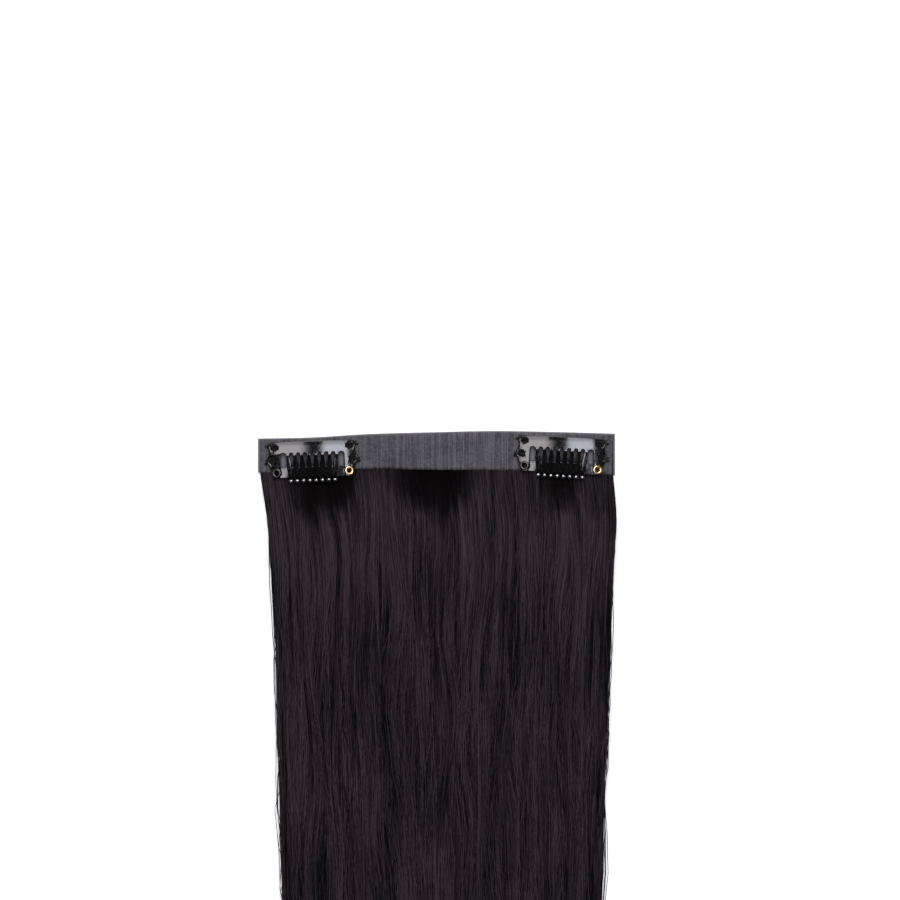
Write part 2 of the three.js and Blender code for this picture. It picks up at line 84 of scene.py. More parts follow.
def read_table(table: Table, column: str, place: float) -> float:
    """One column of a table at any place, on a smooth curve through its rows.

    Args:
        table: Rows that each hold an "at" and the column, in order of "at".
        column: The name of the column.
        place: Where to read it, on the same scale as "at".

    Returns:
        The column's value there.
    """
    last = len(table) - 1
    following = 1
    while following < last and table[following]["at"] < place:
        following += 1
    low, high = table[following - 1], table[following]
    before, after = table[max(following - 2, 0)], table[min(following + 1, last)]
    span = high["at"] - low["at"]
    t = min(max((place - low["at"]) / span, 0.0), 1.0)
    low_slope = (high[column] - before[column]) / (high["at"] - before["at"]) * span
    high_slope = (after[column] - low[column]) / (after["at"] - low["at"]) * span
    rising = low[column] * (2 * t**3 - 3 * t**2 + 1) + low_slope * (t**3 - 2 * t**2 + t)
    return rising + high[column] * (3 * t**2 - 2 * t**3) + high_slope * (t**3 - t**2)


def arc_rise(reach: float, bow: float, across: float) -> float:
    """Height over its ends, at a distance from the middle, of an arc with this half chord and bow."""
    radius = (reach * reach + bow * bow) / (2 * bow)
    return math.sqrt(radius * radius - across * across) - (radius - bow)


def arc_slope(reach: float, bow: float, across: float) -> float:
    """The slope angle of that arc, in radians, falling outwards."""
    return math.asin(across * 2 * bow / (reach * reach + bow * bow))


def ripple(x: float, y: float, z: float) -> float:
    """Smooth noise between -1 and 1 at a place."""
    return noise.noise(Vector((x, y, z)))


@dataclass(frozen=True)
class Ripple:
    """A fixed irregularity of the hair: its strength, and how fast it changes in each direction."""

    strength: float
    across: float
    along: float
    deep: float = 0.0
    start: float = 0.0

    def at(self, across: float, along: float, deep: float = 0.0) -> float:
        """Its value at a place across the hair, along it and in its depth."""
        return self.strength * ripple(across * self.across, along * self.along, deep * self.deep + self.start)


# Node graphs


class Graph:
    """A node tree under construction, where an input takes a value or another node's output."""

    def __init__(self, tree: bpy.types.NodeTree) -> None:
        """Keeps the tree that the nodes go into."""
        self.tree = tree

    def add(self, kind: str, inputs: Mapping[Any, Any] | None = None, **settings: Any) -> bpy.types.Node:
        """Adds a node.

        Args:
            kind: The node's type name.
            inputs: Values or outputs for its inputs, by name or by number.
            settings: Properties of the node itself.

        Returns:
            The new node.
        """
        node = self.tree.nodes.new(kind)
        for key, value in settings.items():
            setattr(node, key, value)
        for key, value in (inputs or {}).items():
            if isinstance(value, bpy.types.NodeSocket):
                self.tree.links.new(value, node.inputs[key])
            else:
                node.inputs[key].default_value = value
        return node

    def math(self, operation: str, first: Any, second: Any = 0.0) -> bpy.types.NodeSocket:
        """The output of a Math node on two values."""
        return self.add("ShaderNodeMath", {0: first, 1: second}, operation=operation).outputs[0]

    def remap(self, value: Any, low: float, high: float, to_low: Any, to_high: Any) -> bpy.types.NodeSocket:
        """The value moved from one range to another, and held to its ends."""
        inputs = {"Value": value, "From Min": low, "From Max": high, "To Min": to_low, "To Max": to_high}
        return self.add("ShaderNodeMapRange", inputs).outputs[0]


class ShaderGraph(Graph):
    """The node tree of one material, with a Principled shader on its output."""

    def __init__(self, name: str) -> None:
        """Starts a new material of this name.

        Args:
            name: The material's name.
        """
        self.material = bpy.data.materials.new(name)
        self.material.use_nodes = True
        super().__init__(self.material.node_tree)
        self.shader = self.tree.nodes["Principled BSDF"]
        self.place = self.add("ShaderNodeTexCoord").outputs["Object"]

    def set(self, **sockets: Any) -> None:
        """Sets or links the shader's sockets, whose names are written with underscores.

        Args:
            sockets: A value or an output for each socket.
        """
        for key, value in sockets.items():
            name = key.replace("_", " ")
            if isinstance(value, bpy.types.NodeSocket):
                self.tree.links.new(value, self.shader.inputs[name])
            else:
                self.shader.inputs[name].default_value = value

    def carried(self, name: str) -> bpy.types.NodeSocket:
        """A number that the piece's mesh carries under this name."""
        return self.add("ShaderNodeAttribute", attribute_name=name).outputs["Fac"]

    def grain(self, per_metre: tuple[float, float, float], detail: float = 2.0,
              roughness: float = 0.5) -> bpy.types.NodeSocket:
        """Noise on Object coordinates.

        Args:
            per_metre: How many grains there are to a metre along each axis.
            detail: Octaves of the noise.
            roughness: How strong each octave is against the one before.

        Returns:
            The noise, about 0.5.
        """
        mapping = self.add("ShaderNodeMapping", {"Vector": self.place, "Scale": per_metre})
        inputs = {"Vector": mapping.outputs[0], "Scale": 1.0, "Detail": detail, "Roughness": roughness}
        return self.add("ShaderNodeTexNoise", inputs).outputs[0]

    def blend(self, share: Any, low: Colour, high: Colour) -> bpy.types.NodeSocket:
        """A colour between two colours.

        Args:
            share: How far from the first to the second.
            low: The first colour.
            high: The second colour.

        Returns:
            The colour's output.
        """
        node = self.add("ShaderNodeMix", data_type="RGBA")
        self.tree.links.new(share, node.inputs[0])
        node.inputs[6].default_value = (*low, 1.0)
        node.inputs[7].default_value = (*high, 1.0)
        return node.outputs[2]

    def relief(self, height: Any, depth: float, strength: float = 1.0) -> None:
        """Raises the surface by up to depth metres where height is 1."""
        inputs = {"Strength": strength, "Distance": depth, "Height": height}
        self.set(Normal=self.add("ShaderNodeBump", inputs).outputs[0])


class GrowthTree(Graph):
    """A Geometry Nodes tree that turns guide lines into finished geometry."""

    def __init__(self, name: str) -> None:
        """Starts a tree with a geometry input, a geometry output and a material input.

        Args:
            name: The tree's name.
        """
        super().__init__(bpy.data.node_groups.new(name, "GeometryNodeTree"))
        self.tree.interface.new_socket("Geometry", in_out="OUTPUT", socket_type="NodeSocketGeometry")
        self.tree.interface.new_socket("Guides", in_out="INPUT", socket_type="NodeSocketGeometry")
        self.tree.interface.new_socket("Finish", in_out="INPUT", socket_type="NodeSocketMaterial")
        self.entry = self.tree.nodes.new("NodeGroupInput")

    def size(self, name: str, value: float) -> bpy.types.NodeSocket:
        """A named number that the modifier sets, with its usual value.

        Args:
            name: The input's name.
            value: Its usual value.

        Returns:
            The input's output.
        """
        kind = "NodeSocketInt" if isinstance(value, int) else "NodeSocketFloat"
        socket = self.tree.interface.new_socket(name, in_out="INPUT", socket_type=kind)
        socket.default_value = value
        return self.entry.outputs[name]

    def chance(self, low: Any, high: Any, strand: Any, seed: Any) -> bpy.types.NodeSocket:
        """A seeded random number for each strand.

        Args:
            low: The least value.
            high: The greatest value.
            strand: The strand's number.
            seed: The seed.

        Returns:
            The random number's output.
        """
        node = self.add("FunctionNodeRandomValue", {2: low, 3: high}, data_type="FLOAT")
        self.tree.links.new(strand, node.inputs["ID"])
        if isinstance(seed, bpy.types.NodeSocket):
            self.tree.links.new(seed, node.inputs["Seed"])
        else:
            node.inputs["Seed"].default_value = seed
        return node.outputs[1]

    def lines(self) -> bpy.types.NodeSocket:
        """The guide lines as curves."""
        return self.add("GeometryNodeMeshToCurve", {"Mesh": self.entry.outputs["Guides"]}).outputs[0]

    def named(self, name: str) -> bpy.types.NodeSocket:
        """A number that the guides carry."""
        return self.add("GeometryNodeInputNamedAttribute", {"Name": name}, data_type="FLOAT").outputs[0]

    def sweep(self, line: Any, profile: Any, radius: Any) -> bpy.types.NodeSocket:
        """The profile carried along the line at a changing radius, with its ends closed.

        Args:
            line: The curve to follow.
            profile: The section's outline.
            radius: The profile's scale along the line.

        Returns:
            The mesh's output.
        """
        sized = self.add("GeometryNodeSetCurveRadius", {"Curve": line, "Radius": radius})
        node = self.add("GeometryNodeCurveToMesh",
                        {"Curve": sized.outputs[0], "Profile Curve": profile, "Fill Caps": True})
        if "Scale" in node.inputs:
            self.tree.links.new(self.add("GeometryNodeInputRadius").outputs[0], node.inputs["Scale"])
        return node.outputs[0]

    def close(self, geometry: Any) -> None:
        """Ends the tree: smooth faces, the material, and no instances left.

        Args:
            geometry: What the tree has made.
        """
        smooth = self.add("GeometryNodeSetShadeSmooth", {"Geometry": geometry})
        real = self.add("GeometryNodeRealizeInstances", {"Geometry": smooth.outputs[0]})
        dressed = self.add("GeometryNodeSetMaterial", {"Geometry": real.outputs[0]})
        self.tree.links.new(self.entry.outputs["Finish"], dressed.inputs["Material"])
        output = self.tree.nodes.new("NodeGroupOutput")
        self.tree.links.new(dressed.outputs[0], output.inputs["Geometry"])

    def grow(self, guides: bpy.types.Object, finish: bpy.types.Material, **sizes: float) -> bpy.types.Object:
        """Runs the tree on guide lines and keeps the result as a plain mesh.

        Args:
            guides: The object that holds the guide lines, which becomes the result.
            finish: The material of the result.
            sizes: The tree's named numbers, with underscores for spaces.

        Returns:
            The same object with its mesh replaced and no modifier.
        """
        values = {key.replace("_", " "): value for key, value in sizes.items()}
        values["Finish"] = finish
        modifier = guides.modifiers.new(self.tree.name, "NODES")
        modifier.node_group = self.tree
        for socket in self.tree.interface.items_tree:
            if socket.in_out == "INPUT" and socket.name in values:
                modifier[socket.identifier] = values.pop(socket.name)
        if values:
            raise ValueError(f"{self.tree.name} has no inputs named {sorted(values)}")
        depsgraph = bpy.context.evaluated_depsgraph_get()
        mesh = bpy.data.meshes.new_from_object(
            guides.evaluated_get(depsgraph), preserve_all_data_layers=True, depsgraph=depsgraph)
        guides.modifiers.remove(modifier)
        guides.data = mesh
        return guides


# Meshes


def link(name: str, mesh: bpy.types.Mesh) -> bpy.types.Object:
    """Puts a mesh into the scene as an object of this name, at the origin.

    Args:
        name: The object's name.
        mesh: Its mesh.

    Returns:
        The object.
    """
    thing = bpy.data.objects.new(name, mesh)
    bpy.context.scene.collection.objects.link(thing)
    return thing


def mesh_of(name: str, points: Iterable[Sequence[float]], faces: Iterable[Sequence[int]],
            edges: Iterable[Sequence[int]] = ()) -> bpy.types.Mesh:
    """A mesh from points in millimetres.

    Args:
        name: The mesh's name.
        points: The points, in millimetres.
        faces: The corners of each face.
        edges: Loose edges, for guide lines.

    Returns:
        The mesh, in metres.
    """
    mesh = bpy.data.meshes.new(name)
    mesh.from_pydata([[axis * MM for axis in point] for point in points], list(edges), list(faces))
    mesh.update()
    return mesh


def loft_faces(rings: int, count: int, start: int = 0) -> list[tuple[int, ...]]:
    """Faces of a closed tube through rings of points, with a cap at both ends.

    Args:
        rings: The number of rings.
        count: Points in each ring, in order against the clock as seen from the last ring.
        start: The number of the first point.

    Returns:
        The corners of each face.
    """
    faces: list[tuple[int, ...]] = []
    for ring in range(rings - 1):
        for i in range(count):
            a = start + ring * count + i
            b = start + ring * count + (i + 1) % count
            faces.append((a, b, b + count, a + count))
    faces.append(tuple(start + i for i in reversed(range(count))))
    faces.append(tuple(start + (rings - 1) * count + i for i in range(count)))
    return faces


def tidy(mesh: bpy.types.Mesh, merge: float = 0.0) -> bpy.types.Mesh:
    """Turns a mesh's faces outwards, after merging points closer than merge metres.

    Args:
        mesh: The mesh, which is changed.
        merge: The distance, 0 to merge nothing.

    Returns:
        The same mesh.
    """
    work = bmesh.new()
    work.from_mesh(mesh)
    if merge:
        bmesh.ops.remove_doubles(work, verts=work.verts, dist=merge)
    bmesh.ops.recalc_face_normals(work, faces=work.faces)
    for face in work.faces:
        face.smooth = True
    work.to_mesh(mesh)
    work.free()
    return mesh


@dataclass
class GuideLines:
    """Guide lines with numbers on their points, for a Geometry Nodes tree."""

    name: str
    points: list[tuple[float, float, float]] = field(default_factory=list)
    edges: list[tuple[int, int]] = field(default_factory=list)
    numbers: dict[str, list[float]] = field(default_factory=dict)

    def add(self, line: Sequence[Sequence[float]], **numbers: Sequence[float]) -> None:
        """Adds one line with its numbers, point by point.

        Args:
            line: Its points.
            numbers: For each number's name, a value for each point.
        """
        first = len(self.points)
        self.points.extend(tuple(point) for point in line)
        self.edges.extend((first + i, first + i + 1) for i in range(len(line) - 1))
        for key, values in numbers.items():
            self.numbers.setdefault(key, []).extend(values)

    def build(self) -> bpy.types.Object:
        """The lines as an object.

        Returns:
            The object, whose mesh has edges and numbers only.
        """
        mesh = mesh_of(self.name, self.points, [], self.edges)
        for key, values in self.numbers.items():
            mesh.attributes.new(key, "FLOAT", "POINT").data.foreach_set("value", values)
        return link(self.name, mesh)


def finished(piece: bpy.types.Object, slot: Slot, *nodes: str) -> bpy.types.Object:
    """Hangs a finished piece on the frame and reports it.

    Args:
        piece: The piece, in place.
        slot: The record's slot of its finish; not used.
        nodes: The CAD nodes that it stands for.

    Returns:
        The same piece.
    """
    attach(piece, ROOT)
    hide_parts(*nodes)
    triangles = sum(len(polygon.vertices) - 2 for polygon in piece.data.polygons)
    LOG.info("%s: %d triangles, stands for %s", piece.name, triangles, ", ".join(nodes) or "nothing")
    return piece


# Finishes


@dataclass(frozen=True)
class HairFinish:
    """Straight black hair with a cool, soft sheen, partly painted into its colour; each strand has a tone of
    its own.
    """

    deep: Colour = (0.0008, 0.0004, 0.0006)
    light: Colour = (0.0445, 0.0315, 0.0395)
    roughness: float = 0.3
    specular: float = 0.07
    tone_share: float = 0.55
    streaks_and_sheen_share: float = 0.5

    def strands(self) -> bpy.types.Material:
        """The material of the strands, which reads the tone, the streaks with the painted sheen and the
        painted shade that they carry.

        Returns:
            The material.
        """
        graph = ShaderGraph("hair_strands")
        tone, shaded, streaks_and_sheen = (graph.carried(name) for name in ("tone", "shaded", "streaks_and_sheen"))
        along = graph.remap(graph.grain((220.0, 18.0, 220.0), 3.0), 0.35, 0.65, -0.1, 0.14)
        share = graph.math("ADD", graph.math("MULTIPLY", tone, self.tone_share), along)
        share = graph.math("ADD", share, graph.math("MULTIPLY", streaks_and_sheen, self.streaks_and_sheen_share))
        # Painted shade: the colour darkens towards the deep colour, and turns rougher, where the strands
        # carry shade below the dipped roots.
        lit = graph.remap(shaded, 0.0, 1.0, 1.0, 0.0)
        share = graph.math("MULTIPLY", graph.remap(share, 0.0, 1.0, 0.0, 1.0), lit)
        rough = graph.remap(share, 0.0, 0.7, self.roughness + 0.25, self.roughness)
        graph.set(Base_Color=graph.blend(share, self.deep, self.light), Specular_IOR_Level=self.specular,
                  Roughness=graph.math("ADD", rough, graph.math("MULTIPLY", shaded, 0.45)))
        return graph.material

    def under_hair(self) -> bpy.types.Material:
        """The material of the dense hair under the strands, streaked along its length.

        Returns:
            The material.
        """
        graph = ShaderGraph("under_hair")
        streaks = graph.grain((2600.0, 14.0, 900.0), 3.0, 0.65)
        graph.set(Base_Color=graph.blend(graph.remap(streaks, 0.35, 0.7, 0.0, 0.6), self.deep, self.light),
                  Roughness=0.55, Specular_IOR_Level=self.specular * 0.7)
        graph.relief(streaks, 0.00015)
        return graph.material


@dataclass(frozen=True)
class FilmFinish:
    """Satin film, thin enough for the pressed roots under it to show as fine upright lines."""

    dark: Colour = (0.007, 0.0065, 0.0085)
    light: Colour = (0.085, 0.08, 0.098)
    # Colour of the painted highlight at the fold, the ends and under the comb's slots.
    painted_highlight: Colour = (0.24, 0.23, 0.26)
    roughness: float = 0.4

    def material(self) -> bpy.types.Material:
        """The material of the band.

        Returns:
            The material.
        """
        graph = ShaderGraph("satin_film")
        roots = graph.grain((2300.0, 60.0, 300.0), 2.0, 0.5)
        clouds = graph.grain((90.0, 150.0, 120.0), 3.0, 0.6)
        pebble = graph.grain((1300.0, 1300.0, 1300.0), 2.0)
        share = graph.math("ADD", graph.remap(roots, 0.38, 0.62, 0.0, 0.5),
                           graph.remap(clouds, 0.38, 0.62, 0.0, 0.3))
        share = graph.math("ADD", share, graph.remap(pebble, 0.35, 0.65, -0.14, 0.2))
        height = graph.math("ADD", roots, graph.math("MULTIPLY", pebble, 0.6))
        # Painted highlight: the film turns paler at the fold, the ends and under the comb's slots, where
        # light catches it.
        whole = graph.blend(graph.carried("painted_highlight"), self.dark, self.painted_highlight)
        graph.tree.links.new(graph.blend(share, self.dark, self.light), whole.node.inputs[6])
        graph.set(Base_Color=whole, Specular_IOR_Level=0.22,
                  Roughness=graph.remap(clouds, 0.3, 0.7, self.roughness - 0.08, self.roughness + 0.1))
        graph.relief(height, 0.0001)
        return graph.material


@dataclass(frozen=True)
class PaintFinish:
    """Gloss black paint baked on sheet steel."""

    colour: Colour = (0.0008, 0.0008, 0.001)
    worn: Colour = (0.0025, 0.0025, 0.003)
    roughness: float = 0.1
    coat: float = 0.35
    specular: float = 0.5
    ior: float = 1.5
    name: str = "gloss_black_paint"

    def material(self) -> bpy.types.Material:
        """The material of the painted clip parts.

        Returns:
            The material.
        """
        graph = ShaderGraph(self.name)
        patches = graph.grain((420.0, 420.0, 420.0), 3.0)
        fine = graph.grain((1500.0, 1500.0, 1500.0), 2.0)
        graph.set(Base_Color=graph.blend(graph.remap(patches, 0.45, 0.75, 0.0, 1.0), self.colour, self.worn),
                  Roughness=graph.remap(fine, 0.3, 0.7, self.roughness - 0.03, self.roughness + 0.06),
                  Coat_Weight=self.coat, Coat_Roughness=0.06, Specular_IOR_Level=self.specular,
                  IOR=self.ior)
        graph.relief(fine, 0.000004)
        return graph.material


@dataclass(frozen=True)
class BrassFinish:
    """Polished brass with faint turning marks."""

    bright: Colour = (0.9, 0.66, 0.38)
    dull: Colour = (0.5, 0.3, 0.13)
    roughness: float = 0.16

    def material(self) -> bpy.types.Material:
        """The material of the brass eyelets.

        Returns:
            The material.
        """
        graph = ShaderGraph("polished_brass")
        marks = graph.grain((900.0, 900.0, 2500.0), 3.0)
        graph.set(Base_Color=graph.blend(graph.remap(marks, 0.35, 0.65, 0.0, 1.0), self.dull, self.bright),
                  Metallic=1.0, Roughness=graph.remap(marks, 0.3, 0.7, self.roughness, self.roughness + 0.12))
        graph.relief(marks, 0.000005)
        return graph.material


@dataclass(frozen=True)
class ThreadFinish:
    """Black twisted sewing thread with a little fuzz."""

    dark: Colour = (0.0015, 0.0015, 0.002)
    light: Colour = (0.009, 0.009, 0.011)

    def material(self) -> bpy.types.Material:
        """The material of the stitches.

        Returns:
            The material.
        """
        graph = ShaderGraph("sewing_thread")
        fibres = graph.grain((6000.0, 6000.0, 6000.0), 3.0, 0.7)
        graph.set(Base_Color=graph.blend(graph.remap(fibres, 0.35, 0.65, 0.0, 1.0), self.dark, self.light),
                  Roughness=0.6, Specular_IOR_Level=0.3)
        graph.relief(fibres, 0.00002)
        return graph.material


# The band


@dataclass(frozen=True)
class Band:
    """A folded strip of film, sealed at the fold and both ends and open towards the hair."""

    width: float = 107.1
    height: float = 11.4
    film: float = 0.5
    seam: float = 1.0
    root_sheet: float = 0.6
    root_clearance: float = 0.1
    fold_radius: float = 0.5
    lip: float = 0.12
    end_height: float = 0.75
    rows: int = 16
    columns: int = 150
    # Strength of the painted highlight under the comb's slots.
    slot_highlight: float = 0.32
    edges: Table = (
        {"at": -1.0, "top": 0.33, "bottom": -0.57},
        {"at": -0.7, "top": 0.36, "bottom": -0.53},
        {"at": -0.38, "top": 0.45, "bottom": -0.47},
        {"at": 0.0, "top": 0.5, "bottom": -0.5},
        {"at": 0.33, "top": 0.53, "bottom": -0.5},
        {"at": 0.7, "top": 0.5, "bottom": -0.55},
        {"at": 1.0, "top": 0.46, "bottom": -0.64},
    )

    @property
    def half(self) -> float:
        """Half the band's width."""
        return self.width / 2

    @property
    def thickness(self) -> float:
        """Two films with the pocket between them."""
        return 2 * self.film + self.root_sheet + 2 * self.root_clearance

    @property
    def root_half(self) -> float:
        """Half the width of the sheet of roots in the pocket."""
        return self.half - self.seam - self.root_clearance

    def edge(self, column: str, x: float) -> float:
        """The y of the band's top or bottom edge at x."""
        return self.height * read_table(self.edges, column, x / self.half)

    def section(self, x: float) -> list[tuple[float, float, float]]:
        """The cross-section at x, from the open edge's underside round the fold and back.

        Args:
            x: Where along the band.

        Returns:
            The points of one ring.
        """
        wave = 0.09 * ripple(x * 0.9, 3.1, 0.0) + 0.05 * ripple(x * 3.7, 8.2, 0.0)
        low, high = self.edge("bottom", x) + wave, self.edge("top", x) + 0.3 * wave
        from_end = self.half - abs(x)
        pressed = ease(from_end / self.seam)
        top = lerp(self.end_height, self.thickness, pressed)
        radius = min(self.fold_radius, top / 2)
        reach = lerp(self.lip, high - low - self.seam, ease((from_end - self.seam * 0.9) / (self.seam * 0.4)))
        rows = self.rows
        ring = [(low, self.lip), (low + self.lip, 0.0)]
        ring += [(lerp(low + self.lip, high - radius, i / rows), 0.0) for i in range(1, rows)]
        for i in range(9):
            angle = -math.pi / 2 + math.pi * i / 8
            ring.append((high - radius + radius * math.cos(angle), top / 2 + top / 2 * math.sin(angle)))
        ring += [(lerp(high - radius, low + self.lip, i / rows), top) for i in range(1, rows + 1)]
        ring.append((low, top - self.lip))
        middle = top / 2
        pocket = lerp(0.02, self.thickness / 2 - self.film, pressed)
        ring += [(low, middle + pocket), (low + reach, middle + pocket)]
        ring += [(low + reach, middle - pocket), (low, middle - pocket)]
        return [(x, y, z) for y, z in ring]

    def edge_highlight_share(self, x: float, y: float) -> float:
        """How much painted highlight the film has at a point: 1 at the fold and the ends.

        Args:
            x: Along the band.
            y: Across the band.

        Returns:
            From 0 to 1.
        """
        from_fold = self.edge("top", x) - y
        from_end = self.half - abs(x)
        return max(1 - ease(from_fold / 0.5), 1 - ease(from_end / 0.6))

    def build(self, finish: FilmFinish, clips: Sequence["SnapClip"]) -> bpy.types.Object:
        """Makes the band and hangs it on the frame.

        Args:
            finish: The film's finish.
            clips: The clips on it, under whose slots a painted highlight makes the film paler.

        Returns:
            The band.
        """
        ends = [0.0, 0.12, 0.3, 0.5, 0.75, 0.95, 1.1, 1.3, 1.6]
        inner = self.half - ends[-1]
        places = [-self.half + end for end in ends[:-1]]
        places += [lerp(-inner, inner, i / self.columns) for i in range(self.columns + 1)]
        places += [self.half - end for end in reversed(ends[:-1])]
        rings = [self.section(x) for x in places]
        points = [point for ring in rings for point in ring]
        mesh = tidy(mesh_of("film_band", points, loft_faces(len(rings), len(rings[0]))))
        # Painted highlight: paler film at the fold, the ends and under the comb's slots.
        highlight_shares = [max(self.edge_highlight_share(x, y), *(self.slot_highlight * clip.slots_over(x, y) for clip in clips))
                for x, y, _ in points]
        mesh.attributes.new("painted_highlight", "FLOAT", "POINT").data.foreach_set("value", highlight_shares)
        band = link("film_band", mesh)
        mesh.materials.append(finish.material())
        mesh.set_sharp_from_angle(angle=math.radians(50))
        return finished(band, Slot.FILM, "pu_band")


# The hair


FINE = (0, 0.005, 0.011, 0.018, 0.026, 0.035, 0.045, 0.057, 0.072, 0.09, 0.11, 0.13, 0.15, 0.172, 0.195, 0.22,
        0.245, 0.27, 0.3, 0.335, 0.375, 0.42, 0.48, 0.55, 0.63, 0.72, 0.82, 0.91, 1.0)
COARSE = (0, 0.006, 0.013, 0.022, 0.034, 0.05, 0.08, 0.13, 0.2, 0.3, 0.42, 0.56, 0.7, 0.85, 1.0)


@dataclass(frozen=True)
class Layer:
    """One depth of strands over some of the locks: where it lies between underside and top, and how dense."""

    name: str
    locks: tuple[int, int]
    lift: float
    spread: float
    per_guide: int
    across: int
    tone: float
    wander: float
    stations: Sequence[float]
    seed: int


@dataclass(frozen=True)
class HairFall:
    """The hair: a pressed sheet of roots that fans out into locks with free, pointed ends."""

    band: Band
    dips: Table
    length: float = 406.0
    thickness: float = 5.0
    lock_width: float = 7.0
    lock_gap: float = 1.1
    dip_flat: float = 4.5
    dip_rise: float = 9.0
    open_rise: float = 30.0
    landing: float = 7.0
    width_spread: float = 0.28
    size_spread: float = 0.1
    end_spread: float = 0.037
    parting_spread: float = 1.2
    valley: float = 0.86
    free_side: float = 0.5
    strand: float = 0.23
    core_reach: float = 0.88
    drift: Ripple = Ripple(5.0, 0.04, 0.009, 1.0)
    curl: Ripple = Ripple(3.2, 0.9, 0.026, 3.0)
    ragged: Ripple = Ripple(7.0, 4.0, 0.03, 0.0, 2.0)
    fine_streaks: Ripple = Ripple(1.3, 31.0, 0.045, 9.0)
    broad_streaks: Ripple = Ripple(0.65, 3.6, 0.02, 4.0, 5.0)
    # Painted sheen: how much lighter the hair's colour is in a band below the band's edge, and where that
    # band lies.
    sheen: float = 0.36
    sheen_from: float = 8.0
    sheen_rise: float = 9.0
    sheen_until: float = 24.0
    sheen_fade: float = 24.0
    # How far down the painted shade reaches below a dip, and how softly it fades.
    shade_down: float = 12.0
    shade_fade: float = 7.5
    dip_squareness: float = 2.4
    curl_grows: float = 30.0
    loose_grows: float = 15.0
    calm_side: float = 9.0
    calm_share: float = 0.1
    past_side: float = 0.4
    root_inside: float = 2.0
    wisp: float = 2.2
    wisp_from: float = 0.66
    form: Table = (
        {"at": 0.0, "left": -1.0, "right": 1.0, "thick": 1.0},
        {"at": 0.035, "left": -0.965, "right": 1.015, "thick": 1.0},
        {"at": 0.1, "left": -0.925, "right": 0.995, "thick": 0.96},
        {"at": 0.31, "left": -0.87, "right": 0.935, "thick": 0.9},
        {"at": 0.6, "left": -0.8, "right": 0.86, "thick": 0.8},
        {"at": 1.0, "left": -0.68, "right": 0.74, "thick": 0.6},
    )
    fused: Sequence[float] = (0, 0.005, 0.012, 0.02, 0.031, 0.046, 0.07, 0.11, 0.17, 0.27, 0.38, 0.5, 0.61,
                              0.71)
    free_end: Table = (
        {"at": 0.0, "width": 1.0, "height": 1.0},
        {"at": 0.3, "width": 1.0, "height": 0.93},
        {"at": 0.58, "width": 0.99, "height": 0.8},
        {"at": 0.8, "width": 0.95, "height": 0.6},
        {"at": 0.93, "width": 0.86, "height": 0.4},
        {"at": 1.0, "width": 0.74, "height": 0.25},
    )
    layers: Sequence[Layer] = (
        Layer("hair_crown_1", (0, 4), 0.94, 0.06, 22, 12, 0.5, 0.006, FINE, 11),
        Layer("hair_crown_2", (4, 8), 0.94, 0.06, 22, 12, 0.5, 0.006, FINE, 12),
        Layer("hair_crown_3", (8, 12), 0.94, 0.06, 22, 12, 0.5, 0.006, FINE, 13),
        Layer("hair_crown_4", (12, 15), 0.94, 0.06, 22, 12, 0.5, 0.006, FINE, 14),
        Layer("hair_middle", (0, 15), 0.78, 0.12, 14, 9, 0.35, 0.006, COARSE, 15),
        Layer("hair_inner", (0, 15), 0.45, 0.24, 10, 9, 0.3, 0.006, COARSE, 16),
        Layer("hair_underside", (0, 15), 0.1, 0.1, 9, 9, 0.3, 0.005, COARSE, 17),
        Layer("hair_loose", (0, 15), 0.99, 0.01, 16, 3, 0.8, 0.016, FINE, 18),
    )

    @property
    def locks(self) -> int:
        """The number of locks."""
        return round(2 * self.band.root_half / self.lock_width)

    @property
    def root_floor(self) -> float:
        """The height of the roots' underside in the pocket."""
        return self.band.film + self.band.root_clearance

    @property
    def root_top(self) -> float:
        """The height of the roots' top in the pocket."""
        return self.root_floor + self.band.root_sheet

    def dip_at(self, x: float) -> float:
        """How much the roots are pressed down at x, from 0 to 1: under both clips and near the middle.

        Args:
            x: Where along the band.

        Returns:
            From 0, full, to 1, pressed flat.
        """
        share = x / self.band.root_half
        share += 0.03 * ripple(x * 0.35, 4.4, 0.0)
        outs = [abs((share - dip["at"]) / dip["half"]) for dip in self.dips]
        falls = [math.exp(-(out ** self.dip_squareness)) for out in outs]
        return min(sum(dip["depth"] * fall for dip, fall in zip(self.dips, falls)), 1.0)

    def x_at(self, across: float, down: float) -> float:
        """The x of a place across the hair (0 left to 1 right) at a distance down from the band's edge.

        Args:
            across: 0 at the left edge, 1 at the right.
            down: The distance down from the band's edge.

        Returns:
            The x.
        """
        left = read_table(self.form, "left", down / self.length)
        right = read_table(self.form, "right", down / self.length)
        return self.band.root_half * lerp(left, right, across)

    def y_at(self, x: float, down: float) -> float:
        """The y at a distance down from the band's edge; the edge's own curve fades out down the hair."""
        return self.band.edge("bottom", x) * (1 - ease(down / self.length)) - down

    def top_at(self, x: float, down: float, share: float) -> float:
        """The height of the hair's top at x, where it has this share of its full thickness.

        Args:
            x: Where along the band.
            down: The distance down from the band's edge.
            share: The share of the full thickness.

        Returns:
            The height.
        """
        full = self.thickness * read_table(self.form, "thick", down / self.length)
        dip = self.dip_at(x)
        risen = ease((down - self.dip_flat * dip) / lerp(self.open_rise, self.dip_rise, dip))
        return lerp(self.root_top + self.band.film * (1 - dip), full * share, risen)

    def floor_at(self, down: float) -> float:
        """The height of the hair's underside at a distance down."""
        return self.root_floor * (1 - ease(down / self.landing))

    def lock_edges(self) -> list[float]:
        """The places across the hair where one lock ends and the next begins, 0 left to 1 right.

        Returns:
            One place more than there are locks.
        """
        widths = [1 + self.width_spread * variation(lock, 0) for lock in range(self.locks)]
        edges = [0.0]
        for width in widths:
            edges.append(edges[-1] + width / sum(widths))
        return edges

